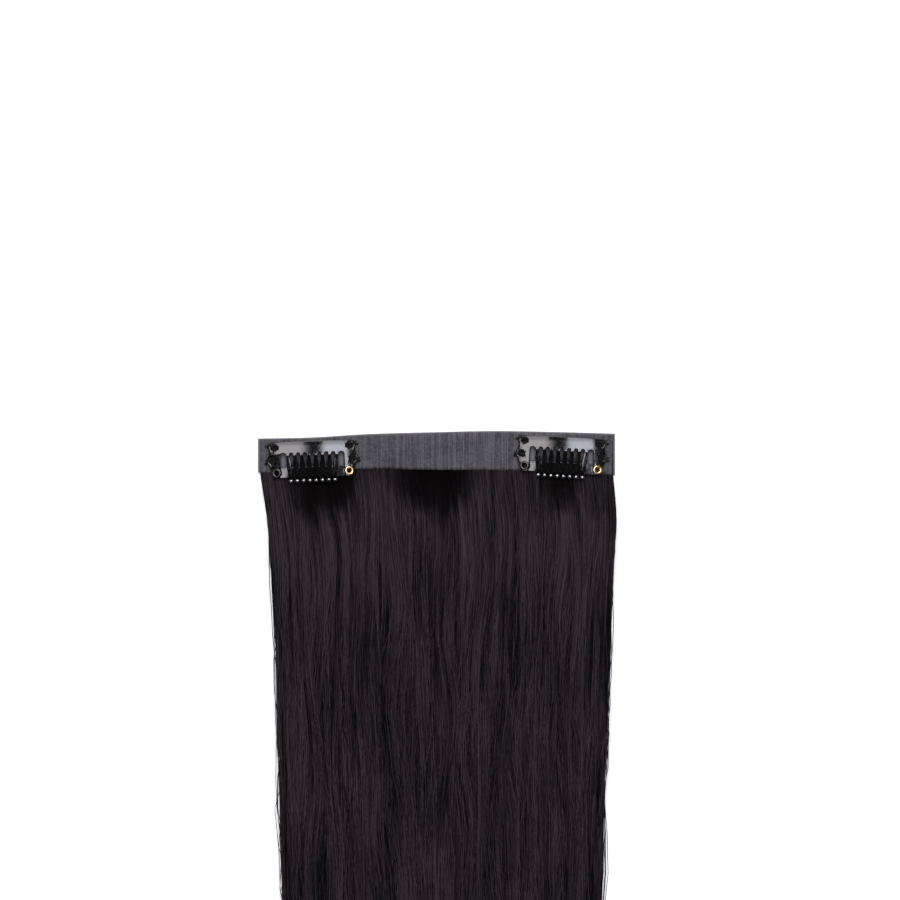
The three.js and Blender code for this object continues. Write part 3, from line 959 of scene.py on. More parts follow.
    def lock_length(self, lock: int) -> float:
        """The length of one lock, to its longest strands."""
        return self.length * (1 - self.end_spread * (1 - variation(lock, 3)))

    def parting(self, lock: int) -> float:
        """The share of the length at which a lock parts from its right neighbour, 0 outside.

        Args:
            lock: The lock's number.

        Returns:
            The share.
        """
        if lock < 0 or lock == self.locks - 1:
            return 0.0
        row = len(self.fused) - round(self.parting_spread * (1 + variation(lock, 1)))
        return self.fused[row - 1]

    def place(self, lock: int, lateral: float, lift: float, down: float) -> Vector:
        """A point in a lock.

        Args:
            lock: The lock's number.
            lateral: Across the lock, from -1 at its left side to 1 at its right.
            lift: From 0 at the underside to 1 at the top.
            down: The distance down from the band's edge.

        Returns:
            The point, in millimetres.
        """
        edges = self.lock_edges()
        share = down / self.length
        drawn = []
        for number in (lock - 1, lock):
            parting = self.parting(number)
            drawn.append(ease((share - parting) / (0.8 - parting)) if parting else 0.0)
        left = self.x_at(edges[lock], down) + self.lock_gap / 2 * drawn[0]
        right = self.x_at(edges[lock + 1], down) - self.lock_gap / 2 * drawn[1]
        start = self.fused[-1] * self.length
        free = max((down - start) / (self.lock_length(lock) - start), 0.0)
        half = (right - left) / 2 * read_table(self.free_end, "width", free)
        x = (left + right) / 2 + half * lateral
        outside = ((lock == 0 and lateral < 0) or (lock == self.locks - 1 and lateral > 0))
        parted = 1.0 if outside else drawn[0 if lateral < 0 else 1]
        own_side = lerp(self.valley, self.free_side, parted)
        crest = 1 - self.size_spread / 2 * (1 - variation(lock, 2))
        height = lerp(crest, own_side, lateral * lateral) * read_table(self.free_end, "height", free)
        floor, top = self.floor_at(down), self.top_at(x, down, height)
        return Vector((x, self.y_at(x, down), lerp(floor, top, lift)))

    def pocket_point(self, edge_point: Vector, inside: float) -> Vector:
        """The point of a root this far up inside the pocket, over the point where it leaves the band."""
        return Vector((edge_point.x, edge_point.y + inside, edge_point.z))

    def core(self, finish: HairFinish) -> bpy.types.Object:
        """Makes the dense inside of the hair, one closed body for each lock.

        Args:
            finish: The hair's finish.

        Returns:
            The core.
        """
        points: list[Vector] = []
        faces: list[tuple[int, ...]] = []
        around = [(-0.97, 0.12), (-0.6, 0.1), (0.0, 0.1), (0.6, 0.1), (0.97, 0.12), (0.97, 0.7),
                  (0.6, 0.84), (0.0, 0.87), (-0.6, 0.84), (-0.97, 0.7)]
        for lock in range(self.locks):
            first = len(points)
            reach = self.lock_length(lock) * self.core_reach
            downs = [station * reach for station in COARSE]
            rings = [[self.place(lock, lateral, lift, down) for lateral, lift in around] for down in downs]
            rings.insert(0, [self.pocket_point(point, 1.5) for point in rings[0]])
            points += [point for ring in rings for point in ring]
            faces += loft_faces(len(rings), len(around), first)
        mesh = tidy(mesh_of("hair_core", points, faces))
        mesh.materials.append(finish.under_hair())
        return finished(link("hair_core", mesh), Slot.HAIR, "hair")

    def guides(self, layer: Layer) -> GuideLines:
        """The guide lines of one layer, with how far the strands may spread about each point.

        Args:
            layer: The layer.

        Returns:
            The lines.
        """
        lines = GuideLines(layer.name)
        for lock in range(*layer.locks):
            for number in range(layer.across):
                lateral = (2 * number + 1) / layer.across - 1
                self._guide(lines, layer, lock, lateral)
        return lines

    def _guide(self, lines: GuideLines, layer: Layer, lock: int, lateral: float) -> None:
        """Adds one guide line of a lock.

        Args:
            lines: The lines that it joins.
            layer: Its layer.
            lock: The lock's number.
            lateral: Across the lock, from -1 at its left side to 1 at its right.
        """
        place = lock + lateral / 2
        line: list[Vector] = []
        numbers: dict[str, list[float]] = {key: [] for key in ("side", "lift", "share", "shaded", "streaks_and_sheen")}
        for station in layer.stations:
            down = station * self.lock_length(lock)
            low, high = (self.place(lock, lateral, lift, down) for lift in (0.0, 1.0))
            left, right = (self.place(lock, side, 1.0, down) for side in (-1.0, 1.0))
            room = max(high.z - low.z - self.strand, 0.02)
            from_side = min(low.x - self.x_at(0.0, down), self.x_at(1.0, down) - low.x)
            bundle = Vector((place * 2.3, down * 0.04, layer.lift * 5))
            lifted = layer.lift + 0.1 * noise.noise(bundle * 1.3)
            lifted = min(max(lifted, layer.spread), 1 - layer.spread)
            sway = ease(station * 3) * self.drift.at(low.x, down, layer.lift)
            sway += ease(down / self.curl_grows) * self.curl.at(place, down, layer.lift)
            sway *= lerp(self.calm_share, 1.0, ease(from_side / self.calm_side))
            line.append(Vector((low.x + sway, low.y, low.z + self.strand / 2 + room * lifted)))
            loose = 0.45 + 0.9 * abs(noise.noise(bundle * 0.8 + Vector((7, 3, 1))))
            spread = abs(right.x - left.x) / layer.across * lerp(0.95, loose, ease(down / self.loose_grows))
            wisp = self.wisp * ease((station - self.wisp_from) / (1 - self.wisp_from))
            spread = min(spread, from_side + self.past_side) + wisp
            numbers["side"].append(spread * MM)
            numbers["lift"].append(room * layer.spread * MM)
            numbers["share"].append(float(station))
            numbers["shaded"].append(self._shade(place, low.x, down))
            numbers["streaks_and_sheen"].append(self._streaks_and_sheen(place, down, layer.lift))
        line.insert(0, self.pocket_point(line[0], self.root_inside))
        lines.add(line, **{key: [values[0], *values] for key, values in numbers.items()})

    def _shade(self, place: float, x: float, down: float) -> float:
        """How deep the painted shade is on the hair below a dip of the roots.

        Args:
            place: Where across the locks, in locks.
            x: Where across the band.
            down: The distance down from the band's edge.

        Returns:
            From 0, fully lit, to 1, black.
        """
        dip = self.dip_at(x)
        deep = ease(1.1 * dip) * (1 - 0.15 * ease(down / 14))
        end = self.shade_down * dip ** 1.6 + self.ragged.at(place, down)
        return deep * (1 - ease((down + 0.5 - end) / self.shade_fade))

    def _streaks_and_sheen(self, place: float, down: float, lift: float) -> float:
        """How much lighter the hair is in its random streaks and its painted sheen.

        Args:
            place: Where across the locks, in locks.
            down: The distance down from the band's edge.
            lift: The depth of the layer.

        Returns:
            A share of the way to the light colour, about 0.
        """
        # Painted sheen: a lighter band of colour some way below the band's edge.
        sheen = ease((down - self.sheen_from) / self.sheen_rise)
        sheen *= 1 - ease((down - self.sheen_until) / self.sheen_fade)
        streaks = self.fine_streaks.at(place, down, lift) + self.broad_streaks.at(place, down, lift)
        return streaks + self.sheen * sheen

    def tree(self) -> GrowthTree:
        """The tree that fills each guide line with strands and sweeps them.

        Returns:
            The tree.
        """
        tree = GrowthTree("grow_strands")
        per_guide = tree.size("Strands per guide", 12)
        width = tree.size("Strand width", self.strand * MM)
        wander = tree.size("Wander", 0.004)
        shortest = tree.size("Shortest", 0.86)
        tone = tree.size("Tone", 0.5)
        seed = tree.size("Seed", 1)
        many = tree.add("GeometryNodeDuplicateElements", {"Geometry": tree.lines(), "Amount": per_guide},
                        domain="SPLINE")
        number = tree.add("GeometryNodeInputIndex").outputs[0]
        strand = tree.add("GeometryNodeFieldOnDomain", {"Value": number}, data_type="INT",
                          domain="CURVE").outputs[0]

        def chance(low: float, high: float, kind: float) -> bpy.types.NodeSocket:
            """A random number for each strand, of one kind or another."""
            return tree.chance(low, high, strand, tree.math("ADD", seed, kind))

        share = tree.named("share")
        side = tree.math("MULTIPLY", chance(-1.0, 1.0, 0.0), tree.named("side"))
        lift = tree.math("MULTIPLY", chance(-1.0, 1.0, 100.0), tree.named("lift"))
        phase = {"X": chance(0.0, 400.0, 200.0), "Y": tree.math("MULTIPLY", share, 3.2)}
        where = tree.add("ShaderNodeCombineXYZ", phase).outputs[0]
        waves = {"Vector": where, "Scale": 2.6, "Detail": 2.0, "Roughness": 0.55}
        wave = tree.math("SUBTRACT", tree.add("ShaderNodeTexNoise", waves).outputs[0], 0.5)
        swing = tree.math("MULTIPLY", tree.math("MULTIPLY", wave, wander),
                          tree.remap(share, 0.0, 0.2, 0.15, 1.0))
        offset = tree.add("ShaderNodeCombineXYZ", {"X": tree.math("ADD", side, swing), "Z": lift}).outputs[0]
        moved = {"Geometry": many.outputs[0], "Offset": offset}
        spread = tree.add("GeometryNodeSetPosition", moved).outputs[0]
        cut = tree.math("POWER", chance(0.0, 1.0, 300.0), 0.6)
        trimmed = tree.add("GeometryNodeTrimCurve", {0: spread, 3: tree.remap(cut, 0.0, 1.0, shortest, 1.0)},
                           mode="FACTOR").outputs[0]
        pale = tree.math("POWER", chance(0.0, 1.0, 400.0), 2.5)
        shade = tree.math("SUBTRACT", tree.math("MULTIPLY", pale, 1.5), 0.43)
        toned = tree.add("GeometryNodeStoreNamedAttribute", {"Geometry": trimmed, "Name": "tone"},
                         data_type="FLOAT", domain="CURVE")
        tree.tree.links.new(tree.math("ADD", tone, shade), toned.inputs["Value"])
        along = tree.add("GeometryNodeSplineParameter").outputs["Factor"]
        taper = tree.remap(along, 0.8, 1.0, 0.5, 0.15)
        turned = tree.add("GeometryNodeSetCurveTilt", {
            "Curve": toned.outputs[0], "Tilt": tree.chance(0.0, 6.28, strand, 7)}).outputs[0]
        profile = tree.add("GeometryNodeCurvePrimitiveCircle", {"Resolution": 3, "Radius": 1.0}).outputs[0]
        tree.close(tree.sweep(turned, profile, tree.math("MULTIPLY", width, taper)))
        return tree

    def build(self, finish: HairFinish) -> list[bpy.types.Object]:
        """Makes the core and every layer of strands and hangs them on the frame.

        Args:
            finish: The hair's finish.

        Returns:
            The pieces.
        """
        made = [self.core(finish)]
        tree, material = self.tree(), finish.strands()
        for layer in self.layers:
            strands = tree.grow(self.guides(layer).build(), material, Strands_per_guide=layer.per_guide,
                                Tone=layer.tone, Wander=layer.wander, Seed=layer.seed)
            made.append(finished(strands, Slot.HAIR, "hair"))
        return made


# The snap clips


@dataclass(frozen=True)
class Hole:
    """The place of a hole in a clip's tabs: out from the centre, and down from the top edge."""

    across: float
    down: float


@dataclass(frozen=True)
class Lobe:
    """A round lobe of a tab about a hole, and the angles in degrees between which it shows."""

    centre: Hole
    radius: float
    start: float
    end: float


@dataclass(frozen=True)
class SnapClip:
    """A bowed steel plate with a comb, a bar under it, two eyelets, and the stitches that hold it."""

    name: str
    band: Band
    side: int
    inset: float
    drop: float
    turn: float
    sheet: float = 0.4
    fit: float = 0.2
    reach: float = 13.8
    bow: float = 1.9
    top_bar: float = 3.5
    sewing_hole: float = 2.0
    top_hole: Hole = Hole(11.45, 1.7)
    middle_hole: Hole = Hole(12.2, 5.6)
    eyelet: Hole = Hole(10.8, 9.3)
    eyelet_lobe: float = 1.7
    bore: float = 1.3
    shank: float = 1.6
    flange: float = 2.8
    lip: float = 2.3
    flange_height: float = 0.4
    lip_height: float = 0.2
    tab_inner: float = 9.6
    teeth: int = 8
    pitch: float = 2.1
    tooth_width: float = 1.1
    gather: float = 0.9
    tooth_thickness: float = 0.43
    tooth_fall: float = 0.5
    ball: float = 1.4
    ball_down: float = 11.8
    bar_height: float = 3.3
    bar_lift: float = 0.5
    bar_floor: float = 0.5
    bar_bows: tuple[float, float] = (0.24, 0.24)
    bar_end_bend: float = 0.01
    bar_end: float = 6.3
    bar_roll: float = 0.04
    bar_roll_from: float = -9.0
    bar_tilt_half: float = 6.2
    bar_tilt_fade: float = 1.2
    plate_roll: float = 0.022
    plate_roll_from: float = -2.3
    tab_bend_from: float = 9.1
    tab_bend_fade: float = 0.7
    tooth_steps: int = 14
    tooth_overlap: float = 0.25
    lean_until: float = 0.35
    rivet_sides: int = 40
    lip_round: float = 0.08
    wraps: int = 3
    wrap_angle: float = 15.0
    wrap_uneven: float = 5.0
    below_film: float = -0.3
    tuft_points: int = 26
    tuft_height: float = 0.12
    knot_points: int = 30
    knot_out: float = 0.45
    knot_ring: float = 0.26
    knot_height: float = 0.24
    bar_tilt: float = 0.105
    tab_bend: float = 0.0
    rounding: float = 0.19
    thread: float = 0.34
    tooth_path: Table = (
        {"at": 0.0, "press": 0.0, "fall": 0.0, "width": 0.72},
        {"at": 0.06, "press": 0.02, "fall": 0.0, "width": 0.76},
        {"at": 0.2, "press": 0.28, "fall": 0.0, "width": 1.04},
        {"at": 0.45, "press": 0.62, "fall": 0.0, "width": 1.4},
        {"at": 0.7, "press": 0.86, "fall": 0.0, "width": 1.36},
        {"at": 0.9, "press": 1.0, "fall": 0.02, "width": 1.0},
        {"at": 0.95, "press": 1.0, "fall": 0.4, "width": 0.9},
        {"at": 1.0, "press": 1.0, "fall": 1.0, "width": 0.82},
    )

    @property
    def centre_x(self) -> float:
        """The x of the clip's centre on the band."""
        return self.side * (self.band.half - self.reach * (1 + self.inset))

    @property
    def slot_width(self) -> float:
        """The width of a slot between two teeth."""
        return self.pitch - self.tooth_width

    @property
    def bar_reach(self) -> float:
        """Half the length of the lower bar."""
        return self.eyelet.across + self.bar_height / 2

    def lobes(self) -> tuple[Lobe, ...]:
        """The lobes of the right tab.

        Returns:
            The lobes, from the top edge down.
        """
        return (Lobe(self.top_hole, self.top_hole.down, 90, -35),
                Lobe(self.middle_hole, self.reach - self.middle_hole.across, 50, -45),
                Lobe(self.eyelet, self.eyelet_lobe, 15, -125))

    def plate_height(self, across: float) -> float:
        """The height of the plate's underside over the film, across from the clip's centre."""
        lift = self.bar_lift + self.sheet + self.fit - arc_rise(self.reach, self.bow, self.bar_reach)
        return lift + arc_rise(self.reach, self.bow, min(abs(across), self.reach))

    def bar_height_at(self, across: float) -> float:
        """The height of the bar's underside over the film, across from the clip's centre.

        Args:
            across: The distance, to the right.

        Returns:
            The height.
        """
        bow = self.bar_bows[across > 0]
        top = self.bar_floor + self.bar_bows[0]
        end_bend = self.bar_end_bend * max(-across - self.bar_end, 0.0) ** 2
        return top - bow + arc_rise(self.bar_reach, bow, min(abs(across), self.bar_reach)) - end_bend

    def plate_surface(self, x: float, y: float) -> float:
        """The height of the plate's underside at a place on the clip, with its rolled edge and bent tab."""
        rolled = self.plate_roll * max(y - self.plate_roll_from, 0.0) ** 2
        return self.plate_height(x) - rolled - self.tab_sag(x, y)

    def tab_sag(self, x: float, y: float) -> float:
        """How far the left tab is bent down at a place on the clip."""
        share = ease((-x - self.tab_bend_from) / self.tab_bend_fade)
        return self.tab_bend * share * max(-y - self.top_bar, 0.0)

    def bar_surface(self, x: float, y: float) -> float:
        """The height of the lower bar's underside at a place on the clip: bowed, tilted under the comb.

        Args:
            x: To the right of the clip's centre.
            y: Up from the clip's top edge.

        Returns:
            The height over the film.
        """
        middle = 1 - ease((abs(x) - self.bar_tilt_half) / self.bar_tilt_fade)
        rolled = self.bar_roll * max(y - self.bar_roll_from, 0.0) ** 2
        return self.bar_height_at(x) - lerp(rolled, -self.bar_tilt * (y + self.eyelet.down), middle)

    def slots_over(self, x: float, y: float) -> float:
        """How far a point of the band lies under the comb's slots, from 0 to 1.

        Args:
            x: Along the band.
            y: Across the band.

        Returns:
            From 0 to 1.
        """
        base = self.placed([(0.0, 0.0, 0.0)])[0]
        local = Matrix.Rotation(math.radians(-self.turn), 4, "Z") @ Vector((x - base.x, y - base.y, 0.0))
        aside = 1 - ease((abs(local.x) - self.tab_inner + 0.6) / 0.9)
        middle = 1 - ease((abs(local.x) - self.tooth_x(self.teeth - 1)) / 0.9)
        foot = lerp(self.eyelet.down - 1.8, self.top_bar + 0.9, middle)
        below = ease((-local.y - self.top_bar + 0.6) / 0.8)
        above = 1 - ease((-local.y - foot) / lerp(1.2, 2.8, middle))
        return aside * below * above

    def tooth_x(self, number: int) -> float:
        """The x of a tooth's root from the clip's centre."""
        return (number - (self.teeth - 1) / 2) * self.pitch

    def placed(self, points: Iterable[Sequence[float]]) -> list[Vector]:
        """Points of the clip's own space, turned and moved to the clip's place on the band.

        Args:
            points: The points, in the clip's own space.

        Returns:
            The points in place.
        """
        base = Vector((self.centre_x, self.band.edge("top", self.centre_x) - self.reach * self.drop,
                       self.band.thickness))
        turn = Matrix.Rotation(math.radians(self.turn), 4, "Z")
        return [base + turn @ Vector(point) for point in points]

    def plate_outline(self) -> list[tuple[float, float]]:
        """The plate's outline seen from above, with the clock: top bar, scalloped tabs, tooth roots.

        Returns:
            The outline's points.
        """
        right: list[tuple[float, float]] = []
        for lobe in self.lobes():
            steps = max(6, int(abs(lobe.start - lobe.end) / 9))
            for i in range(steps + 1):
                angle = math.radians(lerp(lobe.start, lobe.end, i / steps))
                right.append((lobe.centre.across + lobe.radius * math.cos(angle),
                              -lobe.centre.down + lobe.radius * math.sin(angle)))
        inner: list[tuple[float, float]] = [(self.tab_inner, -self.eyelet.down + 0.35)]
        root_end = self.top_bar + 0.5 * self.slot_width + 0.4
        end_edge = (self.teeth - 1) / 2 * self.pitch + self.tooth_width / 2
        inner += self.arch((self.tab_inner + end_edge) / 2, self.tab_inner - end_edge)
        for number in reversed(range(self.teeth)):
            x = self.tooth_x(number)
            inner += [(x + self.tooth_width / 2, -root_end), (x - self.tooth_width / 2, -root_end)]
            if number:
                inner += self.arch(x - self.pitch / 2, self.slot_width)
        inner += self.arch(-(self.tab_inner + end_edge) / 2, self.tab_inner - end_edge)
        inner.append((-self.tab_inner, -self.eyelet.down + 0.35))
        return right + inner + [(-x, y) for x, y in reversed(right)]

    def arch(self, x: float, width: float) -> list[tuple[float, float]]:
        """The round top of a slot, from right to left.

        Args:
            x: The slot's middle.
            width: The slot's width.

        Returns:
            The arc's points.
        """
        turns = [math.pi * i / 10 for i in range(11)]
        return [(x + width / 2 * math.cos(turn), -self.top_bar - width / 2 + width / 2 * math.sin(turn))
                for turn in turns]

    def bar_outline(self) -> list[tuple[float, float]]:
        """The lower bar's outline, round at both ends.

        Returns:
            The outline's points.
        """
        points = []
        for side, start in ((1, -90), (-1, 90)):
            for i in range(17):
                angle = math.radians(start + 180 * i / 16)
                points.append((side * self.eyelet.across + self.bar_height / 2 * math.cos(angle),
                               -self.eyelet.down + self.bar_height / 2 * math.sin(angle)))
        return points

    def stamped(self, name: str, outline: Sequence[tuple[float, float]], holes: Sequence[tuple[Hole, float]],
                surface: Callable[[float, float], float], top: float) -> bpy.types.Object:
        """A sheet of steel cut to an outline, with rounded edges, and bowed.

        Args:
            name: The piece's name.
            outline: The outline seen from above.
            holes: The holes of its right half, each with its diameter.
            surface: Gives the height of the sheet's underside at an x and a y on the clip.
            top: The y of its upper edge, below which the rows of faces are close.

        Returns:
            The bowed sheet in its place on the band.
        """
        curve = bpy.data.curves.new(name, "CURVE")
        curve.dimensions = "2D"
        curve.fill_mode = "BOTH"
        curve.extrude = self.sheet / 2 - self.rounding
        curve.bevel_depth = self.rounding
        curve.bevel_resolution = 2
        curve.offset = -self.rounding
        loops = [list(outline)]
        for hole, diameter in holes:
            for side in (-1, 1):
                turns = [2 * math.pi * i / 24 for i in range(24)]
                loops.append([(side * hole.across + diameter / 2 * math.cos(a),
                               -hole.down + diameter / 2 * math.sin(a)) for a in turns])
        for loop in loops:
            spline = curve.splines.new("POLY")
            spline.points.add(len(loop) - 1)
            for point, (x, y) in zip(spline.points, loop):
                point.co = (x, y, 0.0, 1.0)
            spline.use_cyclic_u = True
        flat = link(name + "_flat", curve)
        depsgraph = bpy.context.evaluated_depsgraph_get()
        mesh = bpy.data.meshes.new_from_object(flat.evaluated_get(depsgraph), depsgraph=depsgraph)
        bpy.data.objects.remove(flat)
        work = bmesh.new()
        work.from_mesh(mesh)
        bmesh.ops.remove_doubles(work, verts=work.verts, dist=0.002)
        cuts = [((i * 0.7 + 0.013, 0, 0), (1, 0, 0)) for i in range(-19, 20)]
        cuts += [((0, top - 0.25 - 0.37 * i, 0), (0, 1, 0)) for i in range(6)]
        cuts += [((0, -0.7 * i - 3.45, 0), (0, 1, 0)) for i in range(4)]
        for place, across in cuts:
            geometry = [*work.verts, *work.edges, *work.faces]
            bmesh.ops.bisect_plane(work, geom=geometry, plane_co=place, plane_no=across)
        bmesh.ops.recalc_face_normals(work, faces=work.faces)
        for vertex in work.verts:
            vertex.co.z += surface(vertex.co.x, vertex.co.y) + self.sheet / 2
        for vertex, point in zip(work.verts, self.placed([vertex.co for vertex in work.verts])):
            vertex.co = point * MM
        for face in work.faces:
            face.smooth = True
        work.to_mesh(mesh)
        work.free()
        mesh.name = name
        piece = link(name, mesh)
        piece.modifiers.new("even_shading", "WEIGHTED_NORMAL")
        return piece

    def comb_tree(self) -> GrowthTree:
        """The tree that sweeps the comb's teeth along their lines.

        Returns:
            The tree.
        """
        tree = GrowthTree("grow_comb")
        width = tree.size("Tooth width", self.tooth_width * MM)
        thickness = tree.size("Tooth thickness", self.tooth_thickness * MM)
        upright = tree.add("GeometryNodeSetCurveNormal", {"Curve": tree.lines()}, mode="Z_UP").outputs[0]
        leaning = tree.add("GeometryNodeSetCurveTilt", {"Curve": upright, "Tilt": tree.named("lean")})
        blank = tree.add("GeometryNodeCurvePrimitiveQuadrilateral", {"Width": width, "Height": thickness})
        corners = {"Curve": blank.outputs[0], "Count": 3, "Radius": tree.math("MULTIPLY", thickness, 0.42)}
        profile = tree.add("GeometryNodeFilletCurve", corners, mode="POLY").outputs[0]
        tree.close(tree.sweep(leaning.outputs[0], profile, tree.named("taper")))
        return tree

    def ball_tree(self) -> GrowthTree:
        """The tree that sets a flattened ball on the end of each tooth.

        Returns:
            The tree.
        """
        tree = GrowthTree("set_balls")
        ball = tree.size("Ball radius", self.ball / 2 * MM)
        flatness = tree.size("Ball flatness", 0.6)
        end = tree.add("GeometryNodeCurveEndpointSelection", {"Start Size": 0, "End Size": 1})
        sphere = tree.add("GeometryNodeMeshUVSphere", {"Segments": 20, "Rings": 12, "Radius": ball})
        scale = tree.add("ShaderNodeCombineXYZ", {"X": 1.0, "Y": 1.0, "Z": flatness})
        flat = tree.add("GeometryNodeTransform", {"Geometry": sphere.outputs[0], "Scale": scale.outputs[0]})
        balls = {"Points": tree.lines(), "Selection": end.outputs[0], "Instance": flat.outputs[0]}
        tree.close(tree.add("GeometryNodeInstanceOnPoints", balls).outputs[0])
        return tree

    def tooth_lines(self, name: str) -> GuideLines:
        """The lines of the teeth, which come down from the top bar onto the lower bar.

        Args:
            name: The end of the piece's name.

        Returns:
            The lines, with the teeth's widths and leans.
        """
        lines = GuideLines(self.name + name)
        for number in range(self.teeth):
            root = self.tooth_x(number)
            over_bar = self.bar_height_at(root) + self.sheet + self.fit + self.tooth_thickness / 2
            start = self.top_bar - self.tooth_overlap
            slope = arc_slope(self.reach, self.bow, root)
            line, tapers, leans = [], [], []
            for i in range(self.tooth_steps + 1):
                at = i / self.tooth_steps
                press = read_table(self.tooth_path, "press", at)
                fall = read_table(self.tooth_path, "fall", at)
                z = lerp(self.plate_height(root) + self.sheet / 2, over_bar, press) - self.tooth_fall * fall
                line.append((root * lerp(1, self.gather, at), -lerp(start, self.ball_down, at), z))
                tapers.append(read_table(self.tooth_path, "width", at))
                leans.append(slope * (1 - ease(at / self.lean_until)))
            lines.add(self.placed(line), taper=tapers, lean=leans)
        return lines

    def eyelet_profile(self, side: int) -> list[tuple[float, float]]:
        """The outline of a hollow rivet: distance from its axis, and height over the film.

        Args:
            side: -1 for the left end of the bar, 1 for the right.

        Returns:
            The outline's points.
        """
        foot = self.plate_surface(side * self.eyelet.across, -self.eyelet.down) + self.sheet + self.fit
        lip_top = self.bar_height_at(side * self.eyelet.across) - self.fit
        bore, shank, flange, lip = self.bore / 2, self.shank / 2, self.flange / 2, self.lip / 2
        lip_foot, lip_middle = lip_top - self.lip_height, lip_top - self.lip_height * 0.5
        profile = [(bore * 0.6, lip_middle), (bore * 0.6 + self.lip_round, lip_foot),
                   (lip - self.lip_round, lip_foot), (lip, lip_middle),
                   (lip - 0.05, lip_top), (shank, lip_top), (shank, foot)]
        middle = (bore + flange) / 2
        for i in range(13):
            angle = math.pi * i / 12
            swell = math.sin(angle) ** 0.8 if i not in (0, 12) else 0.0
            profile.append((middle + (flange - bore) / 2 * math.cos(angle),
                            foot + self.flange_height * swell))
        profile.append((bore * 0.8, foot - 0.13))
        return profile

    def rivet(self, name: str, side: int, paint: bpy.types.Material) -> bpy.types.Object:
        """Makes one eyelet at an end of the bar, leaning outwards square to the bowed sheet.

        Args:
            name: The piece's name.
            side: -1 for the left end, 1 for the right.
            paint: Its material.

        Returns:
            The eyelet.
        """
        profile, sides = self.eyelet_profile(side), self.rivet_sides
        lean = side * arc_slope(self.reach, self.bow, self.eyelet.across)
        pivot = self.plate_height(self.eyelet.across)
        turn = Matrix.Rotation(lean, 4, "Y")
        base = Vector((side * (self.eyelet.across - pivot * math.sin(abs(lean))), -self.eyelet.down,
                       pivot * (1 - math.cos(lean))))
        points, faces, count = [], [], len(profile)
        for i in range(sides):
            angle = 2 * math.pi * i / sides
            points += [base + turn @ Vector((out * math.cos(angle), out * math.sin(angle), z))
                       for out, z in profile]
            for j in range(count):
                k = (j + 1) % count
                after = (i + 1) % sides
                faces.append((i * count + j, after * count + j, after * count + k, i * count + k))
        mesh = tidy(mesh_of(name, self.placed(points), faces), 1e-6)
        mesh.materials.append(paint)
        mesh.set_sharp_from_angle(angle=math.radians(60))
        return link(name, mesh)

    def stitch_tree(self) -> GrowthTree:
        """The tree that lays a two-ply twisted thread along each stitch.

        Returns:
            The tree.
        """
        tree = GrowthTree("grow_stitches")
        width = tree.size("Thread width", self.thread * MM)
        step = tree.size("Step", 0.00012)
        turns = tree.size("Turns per metre", 900.0)
        smooth = tree.add("GeometryNodeCurveSplineType", {"Curve": tree.lines()}, spline_type="CATMULL_ROM")
        fine = tree.add("GeometryNodeResampleCurve", {"Curve": smooth.outputs[0]}, mode="LENGTH")
        tree.tree.links.new(step, fine.inputs["Length"])
        length = tree.add("GeometryNodeSplineParameter").outputs["Length"]
        twist = tree.math("MULTIPLY", tree.math("MULTIPLY", length, turns), 2 * math.pi)
        twisted = tree.add("GeometryNodeSetCurveTilt", {"Curve": fine.outputs[0], "Tilt": twist}).outputs[0]
        plies = tree.add("GeometryNodeJoinGeometry")
        for side in (-1.0, 1.0):
            ply = tree.add("GeometryNodeCurvePrimitiveCircle", {"Resolution": 7, "Radius": 0.29})
            aside = {"Geometry": ply.outputs[0], "Translation": (side * 0.22, 0.0, 0.0)}
            tree.tree.links.new(tree.add("GeometryNodeTransform", aside).outputs[0], plies.inputs[0])
        tree.close(tree.sweep(twisted, plies.outputs[0], width))
        return tree

    def stitches(self, tree: GrowthTree, thread: bpy.types.Material) -> bpy.types.Object:
        """Makes the loops of thread through the sewing holes, over the tabs' edges, and their knots.

        Args:
            tree: The stitches' tree.
            thread: Their material.

        Returns:
            The stitches.
        """
        lines = GuideLines(self.name + "_stitches")
        for side in (-1, 1):
            for hole, radius, lean in ((self.top_hole, self.top_hole.down, 28.0),
                                       (self.middle_hole, self.reach - self.middle_hole.across, -8.0)):
                for wrap in range(self.wraps):
                    uneven = self.wrap_uneven * variation(wrap, side + 2)
                    swing = math.radians(lean + self.wrap_angle * (wrap - 1) + uneven)
                    lines.add(self.placed(self._loop(side, hole, radius, swing, wrap)))
                lines.add(self.placed(self._knot(side, hole, radius, math.radians(lean - 20))))
                lines.add(self.placed(self._tuft(side, hole)))
        return tree.grow(lines.build(), thread)

    def _loop(self, side: int, hole: Hole, radius: float, swing: float,
              wrap: int) -> list[tuple[float, float, float]]:
        """One loop: up out of the film through the hole, over the tab, and down past its edge.

        Args:
            side: -1 on the left tab, 1 on the right.
            hole: The sewing hole.
            radius: From the hole to the tab's edge.
            swing: The loop's direction, as an angle.
            wrap: The loop's number.

        Returns:
            The loop's points.
        """
        over = 0.5 * self.thread + 0.05 * (wrap % 2)
        base = self.plate_surface(side * hole.across, -hole.down)
        start = (self.sewing_hole / 2 - 0.62) * math.cos(wrap * 1.9)
        top = base + self.sheet
        steps = ((0.05, self.below_film), (0.2, 0.1), (0.45, base + 0.1), (0.8, top + over * 0.7),
                 (1.15, top + over), (radius - 0.1, top + over * 0.9), (radius + 0.2, base + 0.1),
                 (radius + 0.3, 0.25), (radius + 0.42, self.below_film))
        sideways = 0.3 * start
        return [(side * (hole.across + out * math.cos(swing) - sideways * math.sin(swing)),
                 -hole.down + out * math.sin(swing) + sideways * math.cos(swing), z) for out, z in steps]

